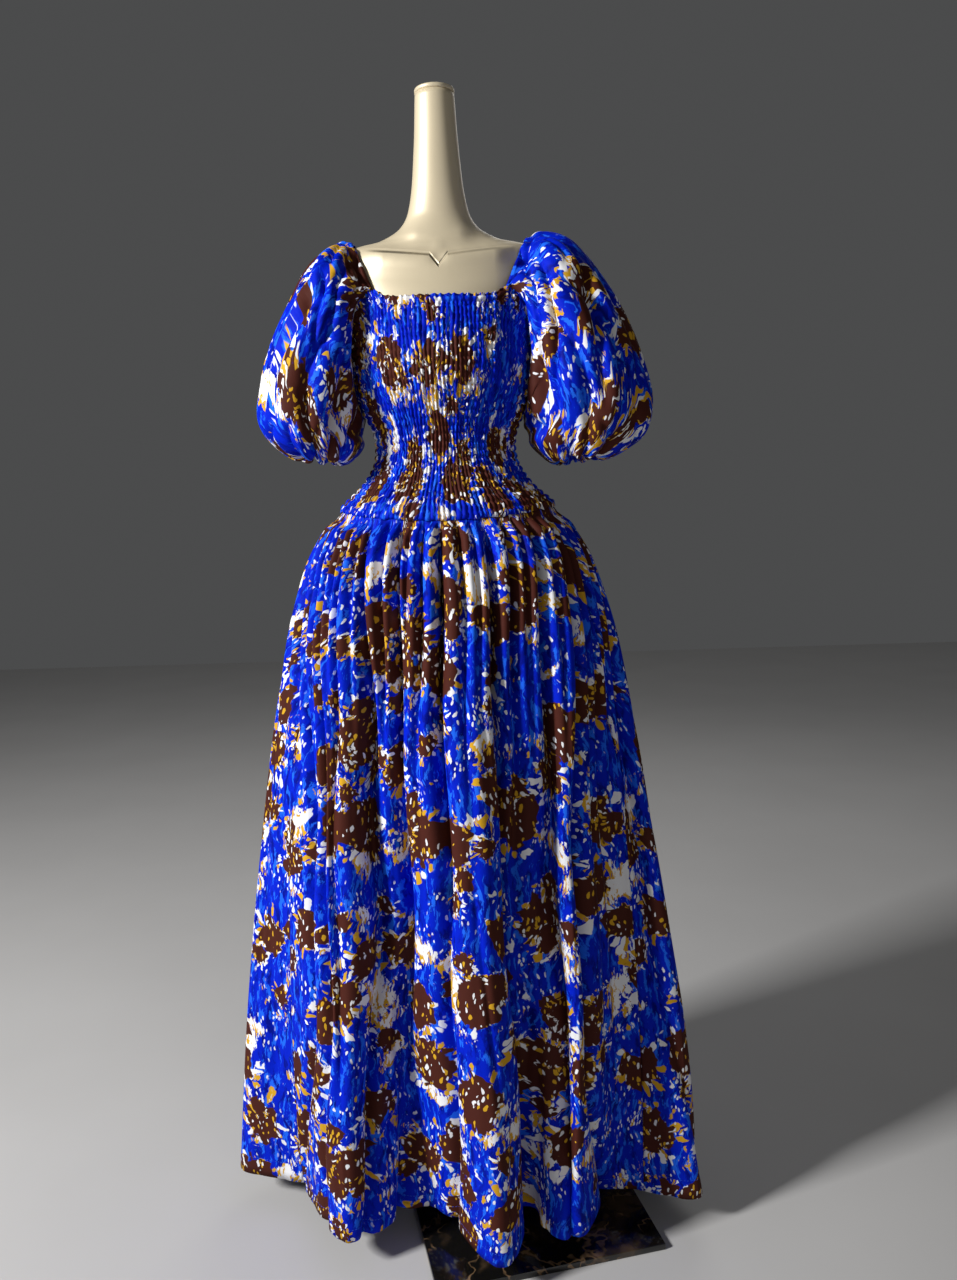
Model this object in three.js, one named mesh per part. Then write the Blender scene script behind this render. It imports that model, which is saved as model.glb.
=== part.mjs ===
// A maxi dress with a shirred bodice, puff sleeves and a gathered skirt, worn by a limbless
// dress form on a pole and a square stone base. Units are millimetres, with +Z up. The front
// faces -Y. The origin is on the floor, under the axis of the form's neck.
import * as THREE from "three";

// Driving dimensions of the dress.
const CLOTH = 2; // wall of the cloth
const SEAM = 0.3; // gap between two pieces at a seam
const SLEEVE_SEAM = 0.6; // from the armhole's smooth line to the sleeve
const CLEAR = 2; // from the form's skin to the inside of the bodice
const HEM_HEIGHT = 50;
const WAIST_SEAM = { front: 1085, side: 1100 };
const RIBS = 54; // shirring ribs on each bodice panel
const RIB_STEP = 180 / RIBS;
const RIB_RISE = 1.5;
const ARMHOLE_RIBS = 15; // ribs from a side seam to the neckline's corner
const CORNER_ANGLE = 90 - ARMHOLE_RIBS * RIB_STEP; // from the centre front or centre back
const GATHERS = 36; // gathers round the top of the skirt
const SLEEVE_PUFFS = 12; // soft folds round each sleeve
const SKIRT_SEAM_ANGLE = 67.5; // the skirt's side seams lie a little forward of the sides

// Driving dimensions of the form, its pole and its base.
const NECK_TOP = 1676;
const FORM_BOTTOM = 940;
const BASE = { side: 346, thick: 10, turn: 13.2, x: 83, arris: 1.2 };
const POLE = { radius: 12.5, flange: 36, flange_thick: 6, boss: 21, boss_height: 24 };
const NECK_CAP = { thick: 6, lip: 0.6 };
const MOUNT_GAP = 0.3;

// The form, a row for each level ring.
const FORM_RINGS = [
  { height: 940, half_width: 146, front: 90, back: 98 },
  { height: 1010, half_width: 162, front: 101, back: 114 },
  { height: 1060, half_width: 165, front: 102, back: 113 },
  { height: 1085, half_width: 162, front: 99, back: 104 },
  { height: 1100, half_width: 155, front: 95, back: 97 },
  { height: 1117, half_width: 136, front: 88, back: 88 },
  { height: 1130, half_width: 122, front: 83, back: 82 },
  { height: 1145, half_width: 110, front: 78, back: 76 },
  { height: 1160, half_width: 101, front: 74, back: 71 },
  { height: 1175, half_width: 96, front: 72, back: 68 },
  { height: 1190, half_width: 94.5, front: 72, back: 66 },
  { height: 1205, half_width: 96, front: 75, back: 66 },
  { height: 1220, half_width: 100, front: 80, back: 68 },
  { height: 1248, half_width: 113, front: 92, back: 74 },
  { height: 1290, half_width: 125, front: 106, back: 82 },
  { height: 1340, half_width: 130, front: 100, back: 87 },
  { height: 1390, half_width: 136, front: 84, back: 85 },
  { height: 1430, half_width: 145, front: 66, back: 74 },
  { height: 1452, half_width: 148, front: 54, back: 61 },
  { height: 1464, half_width: 142, front: 45, back: 50 },
  { height: 1471, half_width: 121, front: 39, back: 43 },
  { height: 1478, half_width: 88, front: 37, back: 38 },
  { height: 1496, half_width: 56, front: 34, back: 35 },
  { height: 1526, half_width: 41, front: 32, back: 33 },
  { height: 1600, half_width: 32, front: 29, back: 29 },
  { height: NECK_TOP, half_width: 27.5, front: 26.5, back: 26.5 },
];
const FORM_COLUMNS = 28;

// The upper edge of each bodice panel: the neckline up to its corner, then the armhole down to
// the side seam. The angle is from the panel's centre line.
const FRONT_EDGE = [
  { angle: 0, height: 1387 },
  { angle: 24, height: 1388 },
  { angle: 34, height: 1392 },
  { angle: CORNER_ANGLE, height: 1400 },
  { angle: 50, height: 1389 },
  { angle: 58, height: 1371 },
  { angle: 66, height: 1343 },
  { angle: 74, height: 1306 },
  { angle: 82, height: 1270 },
  { angle: 90, height: 1245 },
];
const BACK_EDGE = [
  { angle: 0, height: 1404 },
  { angle: 24, height: 1405 },
  { angle: 34, height: 1409 },
  { angle: CORNER_ANGLE, height: 1417 },
  { angle: 50, height: 1405 },
  { angle: 58, height: 1384 },
  { angle: 66, height: 1352 },
  { angle: 74, height: 1312 },
  { angle: 82, height: 1272 },
  { angle: 90, height: 1245 },
];
const BODICE_ROWS = 11;
const INNER_RIBS = 2; // ribs to a facet of the plain inside, between the armholes

// The elastic neck edge of a sleeve, from the front corner over the shoulder to the back one.
// The angle is round the form from the centre front; the turn is round the sleeve from its top.
const NECK_EDGE = [
  { turn: 46, angle: 42.3, height: 1416 },
  { turn: 36, angle: 45.6, height: 1438 },
  { turn: 24, angle: 50.5, height: 1458 },
  { turn: 12, angle: 64, height: 1468 },
  { turn: 0, angle: 90, height: 1471.5 },
  { turn: -12, angle: 116, height: 1468.5 },
  { turn: -24, angle: 129.5, height: 1461 },
  { turn: -36, angle: 134.4, height: 1447 },
  { turn: -46, angle: 137.7, height: 1432 },
];
const CORNER_TURN = 55;

// The sleeves, a row for each ring from the shoulder to the cuff. Inner and outer are the ends
// of the ring next to the body and away from it; depth is half its size from front to back.
const SLEEVE_RINGS = {
  left: [
    { inner_x: 127, inner_z: 1237, outer_x: 142, outer_z: 1474, depth: 86, puff: 3 },
    { inner_x: 128, inner_z: 1230, outer_x: 178, outer_z: 1446, depth: 93, puff: 5 },
    { inner_x: 128, inner_z: 1223, outer_x: 213, outer_z: 1384, depth: 100, puff: 6 },
    { inner_x: 127, inner_z: 1216, outer_x: 245, outer_z: 1320, depth: 104, puff: 6 },
    { inner_x: 127, inner_z: 1208, outer_x: 262, outer_z: 1256, depth: 104, puff: 6 },
    { inner_x: 129, inner_z: 1198, outer_x: 254, outer_z: 1220, depth: 100, puff: 5 },
    { inner_x: 137, inner_z: 1187, outer_x: 236, outer_z: 1197, depth: 88, puff: 5 },
    { inner_x: 151, inner_z: 1178, outer_x: 214, outer_z: 1183, depth: 66, puff: 4 },
    { inner_x: 153, inner_z: 1191, outer_x: 212, outer_z: 1196, depth: 46, puff: 3 },
  ],
  right: [
    { inner_x: 127, inner_z: 1237, outer_x: 145, outer_z: 1480, depth: 82, puff: 3 },
    { inner_x: 128, inner_z: 1230, outer_x: 188, outer_z: 1460, depth: 96, puff: 5 },
    { inner_x: 128, inner_z: 1222, outer_x: 228, outer_z: 1402, depth: 106, puff: 6 },
    { inner_x: 128, inner_z: 1214, outer_x: 267, outer_z: 1324, depth: 112, puff: 7 },
    { inner_x: 128, inner_z: 1205, outer_x: 292, outer_z: 1258, depth: 112, puff: 7 },
    { inner_x: 131, inner_z: 1195, outer_x: 286, outer_z: 1210, depth: 106, puff: 6 },
    { inner_x: 141, inner_z: 1183, outer_x: 262, outer_z: 1186, depth: 92, puff: 5 },
    { inner_x: 158, inner_z: 1170, outer_x: 230, outer_z: 1172, depth: 68, puff: 4 },
    { inner_x: 162, inner_z: 1184, outer_x: 226, outer_z: 1186, depth: 46, puff: 3 },
  ],
};
// How a sleeve leaves the form: its slope up from the skin, in degrees, and the length of that
// first stretch.
const SLEEVE_START = {
  armhole: { slope: 80, length: 8 },
  neck: { slope: 25, length: 9 },
};

// The skirt's level rings without its folds.
const SKIRT_RINGS = [
  { height: 1100, half_width: 161, front: 98, back: 101 },
  { height: 1085, half_width: 173, front: 104, back: 109 },
  { height: 1050, half_width: 194, front: 122, back: 130 },
  { height: 1020, half_width: 209, front: 133, back: 143 },
  { height: 930, half_width: 241, front: 150, back: 163 },
  { height: 800, half_width: 268, front: 158, back: 172 },
  { height: 680, half_width: 289, front: 160, back: 176 },
  { height: 520, half_width: 312, front: 160, back: 178 },
  { height: 360, half_width: 332, front: 160, back: 180 },
  { height: 200, half_width: 349, front: 160, back: 180 },
  { height: HEM_HEIGHT, half_width: 363, front: 160, back: 180 },
];
// The skirt's folds, a row for each ridge or hollow: where its line starts round the seam, and
// where it ends at the hem, seen from above.
const SKIRT_FOLDS = [
  { at: -92, x: -370, y: 22 }, // ridge at the left side
  { at: -68, x: -268, y: -24 },
  { at: -50, x: -172, y: -158 }, // left front ridge
  { at: -29, x: -62, y: -84 },
  { at: 4, x: 48, y: -212 }, // middle front ridge
  { at: 29, x: 90, y: -130 },
  { at: 45, x: 150, y: -170 }, // right front ridge
  { at: 62, x: 224, y: -58 },
  { at: 78, x: 352, y: -82 }, // ridge at the right side
  { at: 97, x: 322, y: 26 },
  { at: 116, x: 276, y: 150 }, // right back ridge
  { at: 132, x: 186, y: 132 },
  { at: 150, x: 108, y: 212 }, // ridge right of the centre back
  { at: 171, x: 22, y: 138 },
  { at: 191, x: -72, y: 214 }, // ridge left of the centre back
  { at: 211, x: -150, y: 130 },
  { at: 230, x: -236, y: 166 }, // left back ridge
  { at: 249, x: -300, y: 84 },
];
const FOLD_GROWTH = 1.15; // how the folds deepen from the seam to the hem
// The skirt's gathers: how far each stands in and out, down from the seam (0) to the hem (1).
const GATHER_DEPTHS = [
  { down: 0, depth: 1.5 },
  { down: 0.022, depth: 5 },
  { down: 0.06, depth: 8 },
  { down: 0.13, depth: 9 },
  { down: 0.24, depth: 7.5 },
  { down: 0.38, depth: 5.5 },
  { down: 0.56, depth: 4 },
  { down: 0.77, depth: 3 },
  { down: 1, depth: 3 },
];

// Finishes.
const finish = {
  print: new THREE.MeshStandardMaterial({ color: 0x1a2fc4, roughness: 0.75, side: THREE.DoubleSide }),
  form: new THREE.MeshStandardMaterial({ color: 0xcdbb92, roughness: 0.35, metalness: 0.35 }),
  steel: new THREE.MeshStandardMaterial({ color: 0xb9bcc0, roughness: 0.3, metalness: 0.9 }),
  stone: new THREE.MeshStandardMaterial({ color: 0x0d0c0b, roughness: 0.15 }),
};

const radians = THREE.MathUtils.degToRad;
const range = (count) => Array.from({ length: count }, (_, i) => i);

// A smooth curve through one column of a table, read along another column.
function curve(rows, along, column) {
  const at = rows.map((row) => row[along]);
  const value = rows.map((row) => row[column]);
  const last = at.length - 1;
  const slope = at.map((_, i) => {
    const before = Math.max(i - 1, 0);
    const after = Math.min(i + 1, last);
    return (value[after] - value[before]) / (at[after] - at[before]);
  });
  const rising = Math.sign(at[last] - at[0]);
  return (place) => {
    let i = 0;
    while (i < last - 1 && (place - at[i + 1]) * rising > 0) i += 1;
    const span = at[i + 1] - at[i];
    const t = THREE.MathUtils.clamp((place - at[i]) / span, 0, 1);
    const t2 = t * t;
    const t3 = t2 * t;
    return (
      (2 * t3 - 3 * t2 + 1) * value[i] +
      (t3 - 2 * t2 + t) * span * slope[i] +
      (3 * t2 - 2 * t3) * value[i + 1] +
      (t3 - t2) * span * slope[i + 1]
    );
  };
}

// A level ring of a table at any height: its point at an angle from the centre front.
function ringShape(rows) {
  const halfWidth = curve(rows, "height", "half_width");
  const front = curve(rows, "height", "front");
  const back = curve(rows, "height", "back");
  return (angle, height) => {
    const c = Math.cos(radians(angle));
    const depth = c > 0 ? front(height) : back(height);
    return new THREE.Vector3(halfWidth(height) * Math.sin(radians(angle)), -depth * c, height);
  };
}

const formPoint = ringShape(FORM_RINGS);
const skirtPoint = ringShape(SKIRT_RINGS);

// The direction out of the form's skin.
function formNormal(angle, height) {
  const around = formPoint(angle + 0.5, height).sub(formPoint(angle - 0.5, height));
  const up = formPoint(angle, height + 0.5).sub(formPoint(angle, height - 0.5));
  return around.cross(up).normalize();
}

function onForm(angle, height, off) {
  return formPoint(angle, height).addScaledVector(formNormal(angle, height), off);
}

function waistSeam(angle) {
  const share = Math.sin(radians(angle)) ** 2;
  return THREE.MathUtils.lerp(WAIST_SEAM.front, WAIST_SEAM.side, share);
}

// A closed wall between two grids of points. Each grid is a list of rows, and both have as many
// rows. The inner grid may have fewer columns: inner column i then lies under the outer column
// picks[i]. With around, the last column joins the first.
function wall(outer, inner, picks, around) {
  const rows = outer.length;
  const points = [...outer.flat(), ...inner.flat()];
  const outerColumns = outer[0].length;
  const innerColumns = inner[0].length;
  const start = rows * outerColumns;
  const out = (r, c) => r * outerColumns + (c % outerColumns);
  const inn = (r, c) => start + r * innerColumns + (c % innerColumns);
  const index = [];
  const quad = (a, b, c, d) => index.push(a, b, c, a, c, d);
  const outerSpans = around ? outerColumns : outerColumns - 1;
  const innerSpans = around ? innerColumns : innerColumns - 1;
  for (let r = 0; r < rows - 1; r += 1) {
    range(outerSpans).forEach((c) => quad(out(r, c), out(r, c + 1), out(r + 1, c + 1), out(r + 1, c)));
    range(innerSpans).forEach((c) => quad(inn(r, c), inn(r + 1, c), inn(r + 1, c + 1), inn(r, c + 1)));
  }
  // Each stretch of the inner rim meets the outer columns from one pick to the next.
  const rim = (r, turned) => {
    const face = (a, b, c) => (turned ? index.push(a, c, b) : index.push(a, b, c));
    range(innerSpans).forEach((i) => {
      const from = picks[i];
      const to = i + 1 < innerColumns ? picks[i + 1] : outerColumns;
      const middle = from + 2 * Math.floor((to - from) / 4);
      for (let c = from; c < to; c += 1) face(out(r, c), inn(r, c < middle ? i : i + 1), out(r, c + 1));
      face(out(r, middle), inn(r, i), inn(r, i + 1));
    });
  };
  rim(0, false);
  rim(rows - 1, true);
  if (!around) {
    for (let r = 0; r < rows - 1; r += 1) {
      quad(out(r, 0), out(r + 1, 0), inn(r + 1, 0), inn(r, 0));
      quad(out(r, outerSpans), inn(r, innerSpans), inn(r + 1, innerSpans), out(r + 1, outerSpans));
    }
  }
  const geometry = new THREE.BufferGeometry().setFromPoints(points);
  geometry.setIndex(index);
  geometry.computeVertexNormals();
  return geometry;
}

// A bodice panel, from side seam to side seam. Its ribs rise on the outside only.
function bodicePanel(edge, facing) {
  const top = curve(edge, "angle", "height");
  const columns = 2 * RIBS;
  const point = (c, r, off) => {
    const fromCentre = (c * RIB_STEP) / 2 - 90;
    const angle = facing + fromCentre;
    const height = THREE.MathUtils.lerp(waistSeam(angle), top(Math.abs(fromCentre)), r / BODICE_ROWS);
    const p = onForm(angle, height, off);
    if (c === 0 || c === columns) p.y += (Math.cos(radians(facing)) > 0 ? -1 : 1) * (SEAM / 2);
    return p;
  };
  const picks = [];
  for (let rib = 0; rib < RIBS; ) {
    picks.push(2 * rib);
    const middle = rib >= ARMHOLE_RIBS && rib + INNER_RIBS <= RIBS - ARMHOLE_RIBS;
    rib += middle ? INNER_RIBS : 1;
  }
  picks.push(columns);
  const rise = (c) => (c % 2 ? RIB_RISE : 0);
  const rows = range(BODICE_ROWS + 1);
  const outer = rows.map((r) => range(columns + 1).map((c) => point(c, r, CLEAR + CLOTH + rise(c))));
  const inner = rows.map((r) => picks.map((c) => point(c, r, CLEAR)));
  return wall(outer, inner, picks, false);
}

// The seam line of a sleeve, once round it: the place, the way out of the form, the way off the
// seam, and the turn round the sleeve.
function sleeveSeam() {
  const armhole = (edge, side) =>
    range(ARMHOLE_RIBS + 1).map((i) => {
      const fromCentre = CORNER_ANGLE + i * RIB_STEP;
      const turn = THREE.MathUtils.lerp(CORNER_TURN, 180, (i / ARMHOLE_RIBS) ** 0.85);
      return {
        turn: side * turn,
        angle: side > 0 ? fromCentre : 180 - fromCentre,
        height: curve(edge, "angle", "height")(fromCentre),
      };
    });
  const front = armhole(FRONT_EDGE, 1);
  const back = armhole(BACK_EDGE, -1).slice(0, -1).reverse();
  const line = [...NECK_EDGE.slice().reverse(), ...front, ...back].map((place) => ({ ...place }));
  const count = line.length;
  return line.map((place, i) => {
    const before = line[(i + count - 1) % count];
    const after = line[(i + 1) % count];
    const point = formPoint(place.angle, place.height);
    const along = point.clone().sub(formPoint(before.angle, before.height)).normalize();
    along.add(formPoint(after.angle, after.height).sub(point).normalize());
    const out = formNormal(place.angle, place.height);
    const off = out.clone().cross(along).normalize();
    return { ...place, point, out, off };
  });
}

// A sleeve: a tube from its seam and neck edge, out over the shoulder and down into the cuff.
function sleeve(side) {
  const seam = sleeveSeam();
  const count = seam.length;
  const starts = seam.map(({ point, out, off, turn }) => {
    const neck = THREE.MathUtils.smoothstep(CORNER_TURN + 10 - Math.abs(turn), 0, 20);
    const slope = radians(THREE.MathUtils.lerp(SLEEVE_START.armhole.slope, SLEEVE_START.neck.slope, neck));
    const length = THREE.MathUtils.lerp(SLEEVE_START.armhole.length, SLEEVE_START.neck.length, neck);
    const half = CLOTH / 2;
    const edge = point
      .clone()
      .addScaledVector(out, CLEAR + half * Math.cos(slope))
      .addScaledVector(off, SLEEVE_SEAM + half * Math.sin(slope));
    const run = off.clone().multiplyScalar(Math.cos(slope)).addScaledVector(out, Math.sin(slope));
    const outward = out.clone().multiplyScalar(Math.cos(slope)).addScaledVector(off, -Math.sin(slope));
    return { edge, risen: edge.clone().addScaledVector(run, length), outward };
  });
  const ringRow = (ring) =>
    seam.map(({ turn }, i) => {
      const puff = ring.puff * Math.cos((2 * Math.PI * i * SLEEVE_PUFFS) / count);
      const soft = puff * THREE.MathUtils.smoothstep(180 - Math.abs(turn), 0, 40);
      const up = new THREE.Vector3(ring.outer_x - ring.inner_x, 0, ring.outer_z - ring.inner_z);
      const half = up.length() / 2;
      const c = Math.cos(radians(turn));
      const s = Math.sin(radians(turn));
      return new THREE.Vector3(ring.inner_x + ring.outer_x, 0, ring.inner_z + ring.outer_z)
        .multiplyScalar(0.5)
        .addScaledVector(up.normalize(), c * (half + soft * c))
        .setY(-s * (ring.depth + soft * Math.abs(s)));
    });
  const rows = [
    starts.map(({ edge }) => edge),
    starts.map(({ risen }) => risen),
    ...SLEEVE_RINGS[side].map(ringRow),
  ];
  // The wall's way out at each point, from its neighbours round and along the sleeve.
  const outward = (r, c) => {
    if (r === 0) return starts[c].outward;
    const around = rows[r][(c + 1) % count].clone().sub(rows[r][(c + count - 1) % count]);
    const along = rows[Math.min(r + 1, rows.length - 1)][c].clone().sub(rows[r - 1][c]);
    return around.cross(along).normalize();
  };
  const face = (half) =>
    rows.map((row, r) => row.map((p, c) => p.clone().addScaledVector(outward(r, c), half)));
  return wall(face(CLOTH / 2), face(-CLOTH / 2), range(count), true);
}

// The hem seen from above, as one closed smooth line through the ridges and hollows.
const hemLine = new THREE.CatmullRomCurve3(
  SKIRT_FOLDS.map(({ x, y }) => new THREE.Vector3(x, y, HEM_HEIGHT)),
  true,
  "centripetal",
);

// The hem's point under an angle of the waist seam.
function hemPoint(angle) {
  const count = SKIRT_FOLDS.length;
  const first = SKIRT_FOLDS[0].at;
  const turned = THREE.MathUtils.euclideanModulo(angle - first, 360) + first;
  let i = count - 1;
  while (SKIRT_FOLDS[i].at > turned) i -= 1;
  const next = i + 1 < count ? SKIRT_FOLDS[i + 1].at : first + 360;
  const share = (turned - SKIRT_FOLDS[i].at) / (next - SKIRT_FOLDS[i].at);
  return hemLine.getPoint((i + share) / count);
}

const gatherDepth = curve(GATHER_DEPTHS, "down", "depth");

// A point of the skirt's middle surface, at an angle round the seam and a share of the way down.
function skirtMiddle(angle, down) {
  const seam = waistSeam(angle) - SEAM;
  const height = THREE.MathUtils.lerp(seam, HEM_HEIGHT, down);
  const start = onForm(angle, seam, CLEAR + CLOTH / 2);
  const plain = skirtPoint(angle, height);
  const blend = THREE.MathUtils.smoothstep(down, 0, GATHER_DEPTHS[1].down);
  const p = start.lerp(plain, blend);
  p.z = height;
  const fold = hemPoint(angle).sub(skirtPoint(angle, HEM_HEIGHT));
  p.addScaledVector(fold.setZ(0), down ** FOLD_GROWTH);
  const uneven = 0.8 + 0.2 * Math.sin(radians(7 * angle + 40)) + 0.15 * Math.sin(radians(11 * angle));
  const gather = gatherDepth(down) * uneven * Math.cos(radians(GATHERS * angle));
  const out = new THREE.Vector3(Math.sin(radians(angle)), -Math.cos(radians(angle)), 0);
  return p.addScaledVector(out, gather);
}

// A skirt panel between two angles of the waist seam.
function skirtPanel(from, to) {
  const step = 360 / (4 * GATHERS);
  const columns = Math.round((to - from) / step);
  const rows = GATHER_DEPTHS.map(({ down }) => down).reverse();
  const face = (half) =>
    rows.map((down) =>
      range(columns + 1).map((c) => {
        const angle = from + c * step;
        const along = skirtMiddle(angle + step, down).sub(skirtMiddle(angle - step, down)).setZ(0);
        along.normalize();
        const p = skirtMiddle(angle, down);
        if (c === 0) p.addScaledVector(along, SEAM / 2);
        if (c === columns) p.addScaledVector(along, -SEAM / 2);
        return p.addScaledVector(new THREE.Vector3(along.y, -along.x, 0), half);
      }),
    );
  return wall(face(CLOTH / 2), face(-CLOTH / 2), range(columns + 1), false);
}

// The form's body, from the flat under its hips to the top of its neck.
function formBody() {
  const step = 360 / FORM_COLUMNS;
  const rings = FORM_RINGS.map(({ height }) => range(FORM_COLUMNS).map((c) => formPoint(c * step, height)));
  const points = rings.flat();
  const bottom = points.length;
  points.push(new THREE.Vector3(0, 0, FORM_BOTTOM), new THREE.Vector3(0, 0, NECK_TOP));
  const at = (r, c) => r * FORM_COLUMNS + (c % FORM_COLUMNS);
  const last = rings.length - 1;
  const index = [];
  range(FORM_COLUMNS).forEach((c) => {
    range(last).forEach((r) => {
      index.push(at(r, c), at(r, c + 1), at(r + 1, c + 1), at(r, c), at(r + 1, c + 1), at(r + 1, c));
    });
    index.push(at(0, c + 1), at(0, c), bottom);
    index.push(at(last, c), at(last, c + 1), bottom + 1);
  });
  const geometry = new THREE.BufferGeometry().setFromPoints(points);
  geometry.setIndex(index);
  geometry.computeVertexNormals();
  return geometry;
}

// A turned piece, from its outline on one side of the Z axis.
function turned(outline, segments) {
  const geometry = new THREE.LatheGeometry(
    outline.map(([radius, height]) => new THREE.Vector2(radius, height)),
    segments,
  );
  return geometry.rotateX(Math.PI / 2);
}

function pole() {
  const top = FORM_BOTTOM - MOUNT_GAP;
  const bottom = BASE.thick + MOUNT_GAP;
  return turned(
    [
      [0, bottom],
      [POLE.flange, bottom],
      [POLE.flange, bottom + POLE.flange_thick],
      [POLE.radius, bottom + POLE.flange_thick],
      [POLE.radius, top - POLE.boss_height],
      [POLE.boss, top - POLE.boss_height],
      [POLE.boss, top],
      [0, top],
    ],
    24,
  );
}

function neckCap() {
  const { half_width: radius } = FORM_RINGS[FORM_RINGS.length - 1];
  const bottom = NECK_TOP + MOUNT_GAP;
  const top = bottom + NECK_CAP.thick;
  return turned(
    [
      [0, bottom],
      [radius + NECK_CAP.lip, bottom],
      [radius + NECK_CAP.lip, top - 2],
      [radius - 2, top],
      [0, top],
    ],
    28,
  );
}

function basePlate() {
  const half = BASE.side / 2 - BASE.arris;
  const square = new THREE.Shape([
    new THREE.Vector2(-half, -half),
    new THREE.Vector2(half, -half),
    new THREE.Vector2(half, half),
    new THREE.Vector2(-half, half),
  ]);
  const geometry = new THREE.ExtrudeGeometry(square, {
    depth: BASE.thick - 2 * BASE.arris,
    bevelSize: BASE.arris,
    bevelThickness: BASE.arris,
    bevelSegments: 1,
  });
  return geometry.translate(0, 0, BASE.arris);
}

const dressed = new THREE.Group();

function add(name, geometry, material) {
  const mesh = new THREE.Mesh(geometry, material);
  mesh.name = name;
  dressed.add(mesh);
  return mesh;
}

add("bodice_front", bodicePanel(FRONT_EDGE, 0), finish.print);
add("bodice_back", bodicePanel(BACK_EDGE, 180), finish.print);
add("sleeve_right", sleeve("right"), finish.print);
add("sleeve_left", sleeve("left"), finish.print).scale.x = -1;
add("skirt_front", skirtPanel(-SKIRT_SEAM_ANGLE, SKIRT_SEAM_ANGLE), finish.print);
add("skirt_back", skirtPanel(SKIRT_SEAM_ANGLE, 360 - SKIRT_SEAM_ANGLE), finish.print);
add("form_body", formBody(), finish.form);
add("form_neck_cap", neckCap(), finish.form);
add("form_pole", pole(), finish.steel).position.x = BASE.x;
const plate = add("form_base", basePlate(), finish.stone);
plate.position.x = BASE.x;
plate.rotation.z = radians(BASE.turn);

export default dressed;
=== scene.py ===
"""A maxi dress with a shirred bodice, puff sleeves and a gathered skirt, on a dress form.

Sizes are in metres, with +Z up and the front facing -Y.
"""
import math

import bmesh
import bpy
import numpy as np
from bpy.props import FloatProperty, FloatVectorProperty, IntProperty, PointerProperty
from mathutils import Matrix, Vector


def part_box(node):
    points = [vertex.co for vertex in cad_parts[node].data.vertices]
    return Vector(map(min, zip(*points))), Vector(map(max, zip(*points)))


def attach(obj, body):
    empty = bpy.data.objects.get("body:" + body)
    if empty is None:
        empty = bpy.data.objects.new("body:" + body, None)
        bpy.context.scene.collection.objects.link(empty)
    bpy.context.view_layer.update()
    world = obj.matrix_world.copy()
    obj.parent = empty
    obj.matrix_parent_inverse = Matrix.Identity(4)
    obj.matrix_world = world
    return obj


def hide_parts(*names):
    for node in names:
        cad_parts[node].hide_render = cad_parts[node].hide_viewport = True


bl_info = {
    "name": "Maxi dress on a dress form",
    "version": (1, 0, 0),
    "blender": (4, 5, 0),
    "location": "View3D > Sidebar > Dress",
    "description": "Makes a printed maxi dress with a shirred bodice on its dress form",
    "category": "Add Mesh",
}

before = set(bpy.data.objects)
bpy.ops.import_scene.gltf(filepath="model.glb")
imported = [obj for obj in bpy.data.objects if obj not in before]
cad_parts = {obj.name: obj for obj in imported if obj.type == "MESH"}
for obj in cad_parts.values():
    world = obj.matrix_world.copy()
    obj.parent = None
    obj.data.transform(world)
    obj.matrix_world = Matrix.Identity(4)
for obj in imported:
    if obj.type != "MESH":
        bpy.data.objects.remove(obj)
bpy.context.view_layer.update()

SEAM = 0.0003  # gap between two pieces at a seam
SLEEVE_SEAM = 0.0006  # from the armhole's smooth line to the sleeve
CLEAR = 0.002  # from the form's skin to the inside of the bodice
WALL = 0.002  # the solids' wall, which the shells stay inside
# The notch between the collarbones, and the slope of the ledges beside it.
NOTCH = {"top": 1.4480, "half_width": 0.0125, "height": 0.017, "rise": 0.14}
CORNER_ANGLE = 40.0  # the neckline's corners, from the centre front or centre back
CORNER_TURN = 55.0  # where the neck edge ends, round the sleeve from its top
SKIRT_SEAM_ANGLE = 67.5  # the skirt's side seams lie a little forward of the sides
FOLD_GROWTH = 1.15  # how the skirt's folds deepen from the seam to the hem
DEEPEST_HOLLOW = 0.046  # the deepest that a hollow goes into the skirt


def table(columns, rows):
    """The columns of a table by name, each an array down the rows."""
    return dict(zip(columns.split(), np.array(rows, float).T))


# The form's level rings, from under its waist to the top of its neck.
FORM_RINGS = table("height half_width front back", [
    (0.940, 0.146, 0.090, 0.098),
    (1.010, 0.162, 0.101, 0.114),
    (1.060, 0.165, 0.102, 0.113),
    (1.085, 0.162, 0.099, 0.104),
    (1.100, 0.155, 0.095, 0.097),
    (1.117, 0.136, 0.088, 0.088),
    (1.130, 0.122, 0.083, 0.082),
    (1.145, 0.110, 0.078, 0.076),
    (1.160, 0.101, 0.074, 0.071),
    (1.175, 0.096, 0.072, 0.068),
    (1.190, 0.0945, 0.072, 0.066),
    (1.205, 0.096, 0.075, 0.066),
    (1.220, 0.100, 0.080, 0.068),
    (1.248, 0.113, 0.092, 0.074),
    (1.290, 0.125, 0.106, 0.082),
    (1.340, 0.130, 0.100, 0.087),
    (1.390, 0.136, 0.084, 0.085),
    (1.430, 0.145, 0.066, 0.074),
    (1.452, 0.148, 0.054, 0.061),
    (1.464, 0.142, 0.045, 0.050),
    (1.471, 0.121, 0.039, 0.043),
    (1.478, 0.088, 0.037, 0.038),
    (1.496, 0.056, 0.034, 0.035),
    (1.526, 0.041, 0.032, 0.033),
    (1.600, 0.032, 0.029, 0.029),
    (1.676, 0.0275, 0.0265, 0.0265),
])
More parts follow.
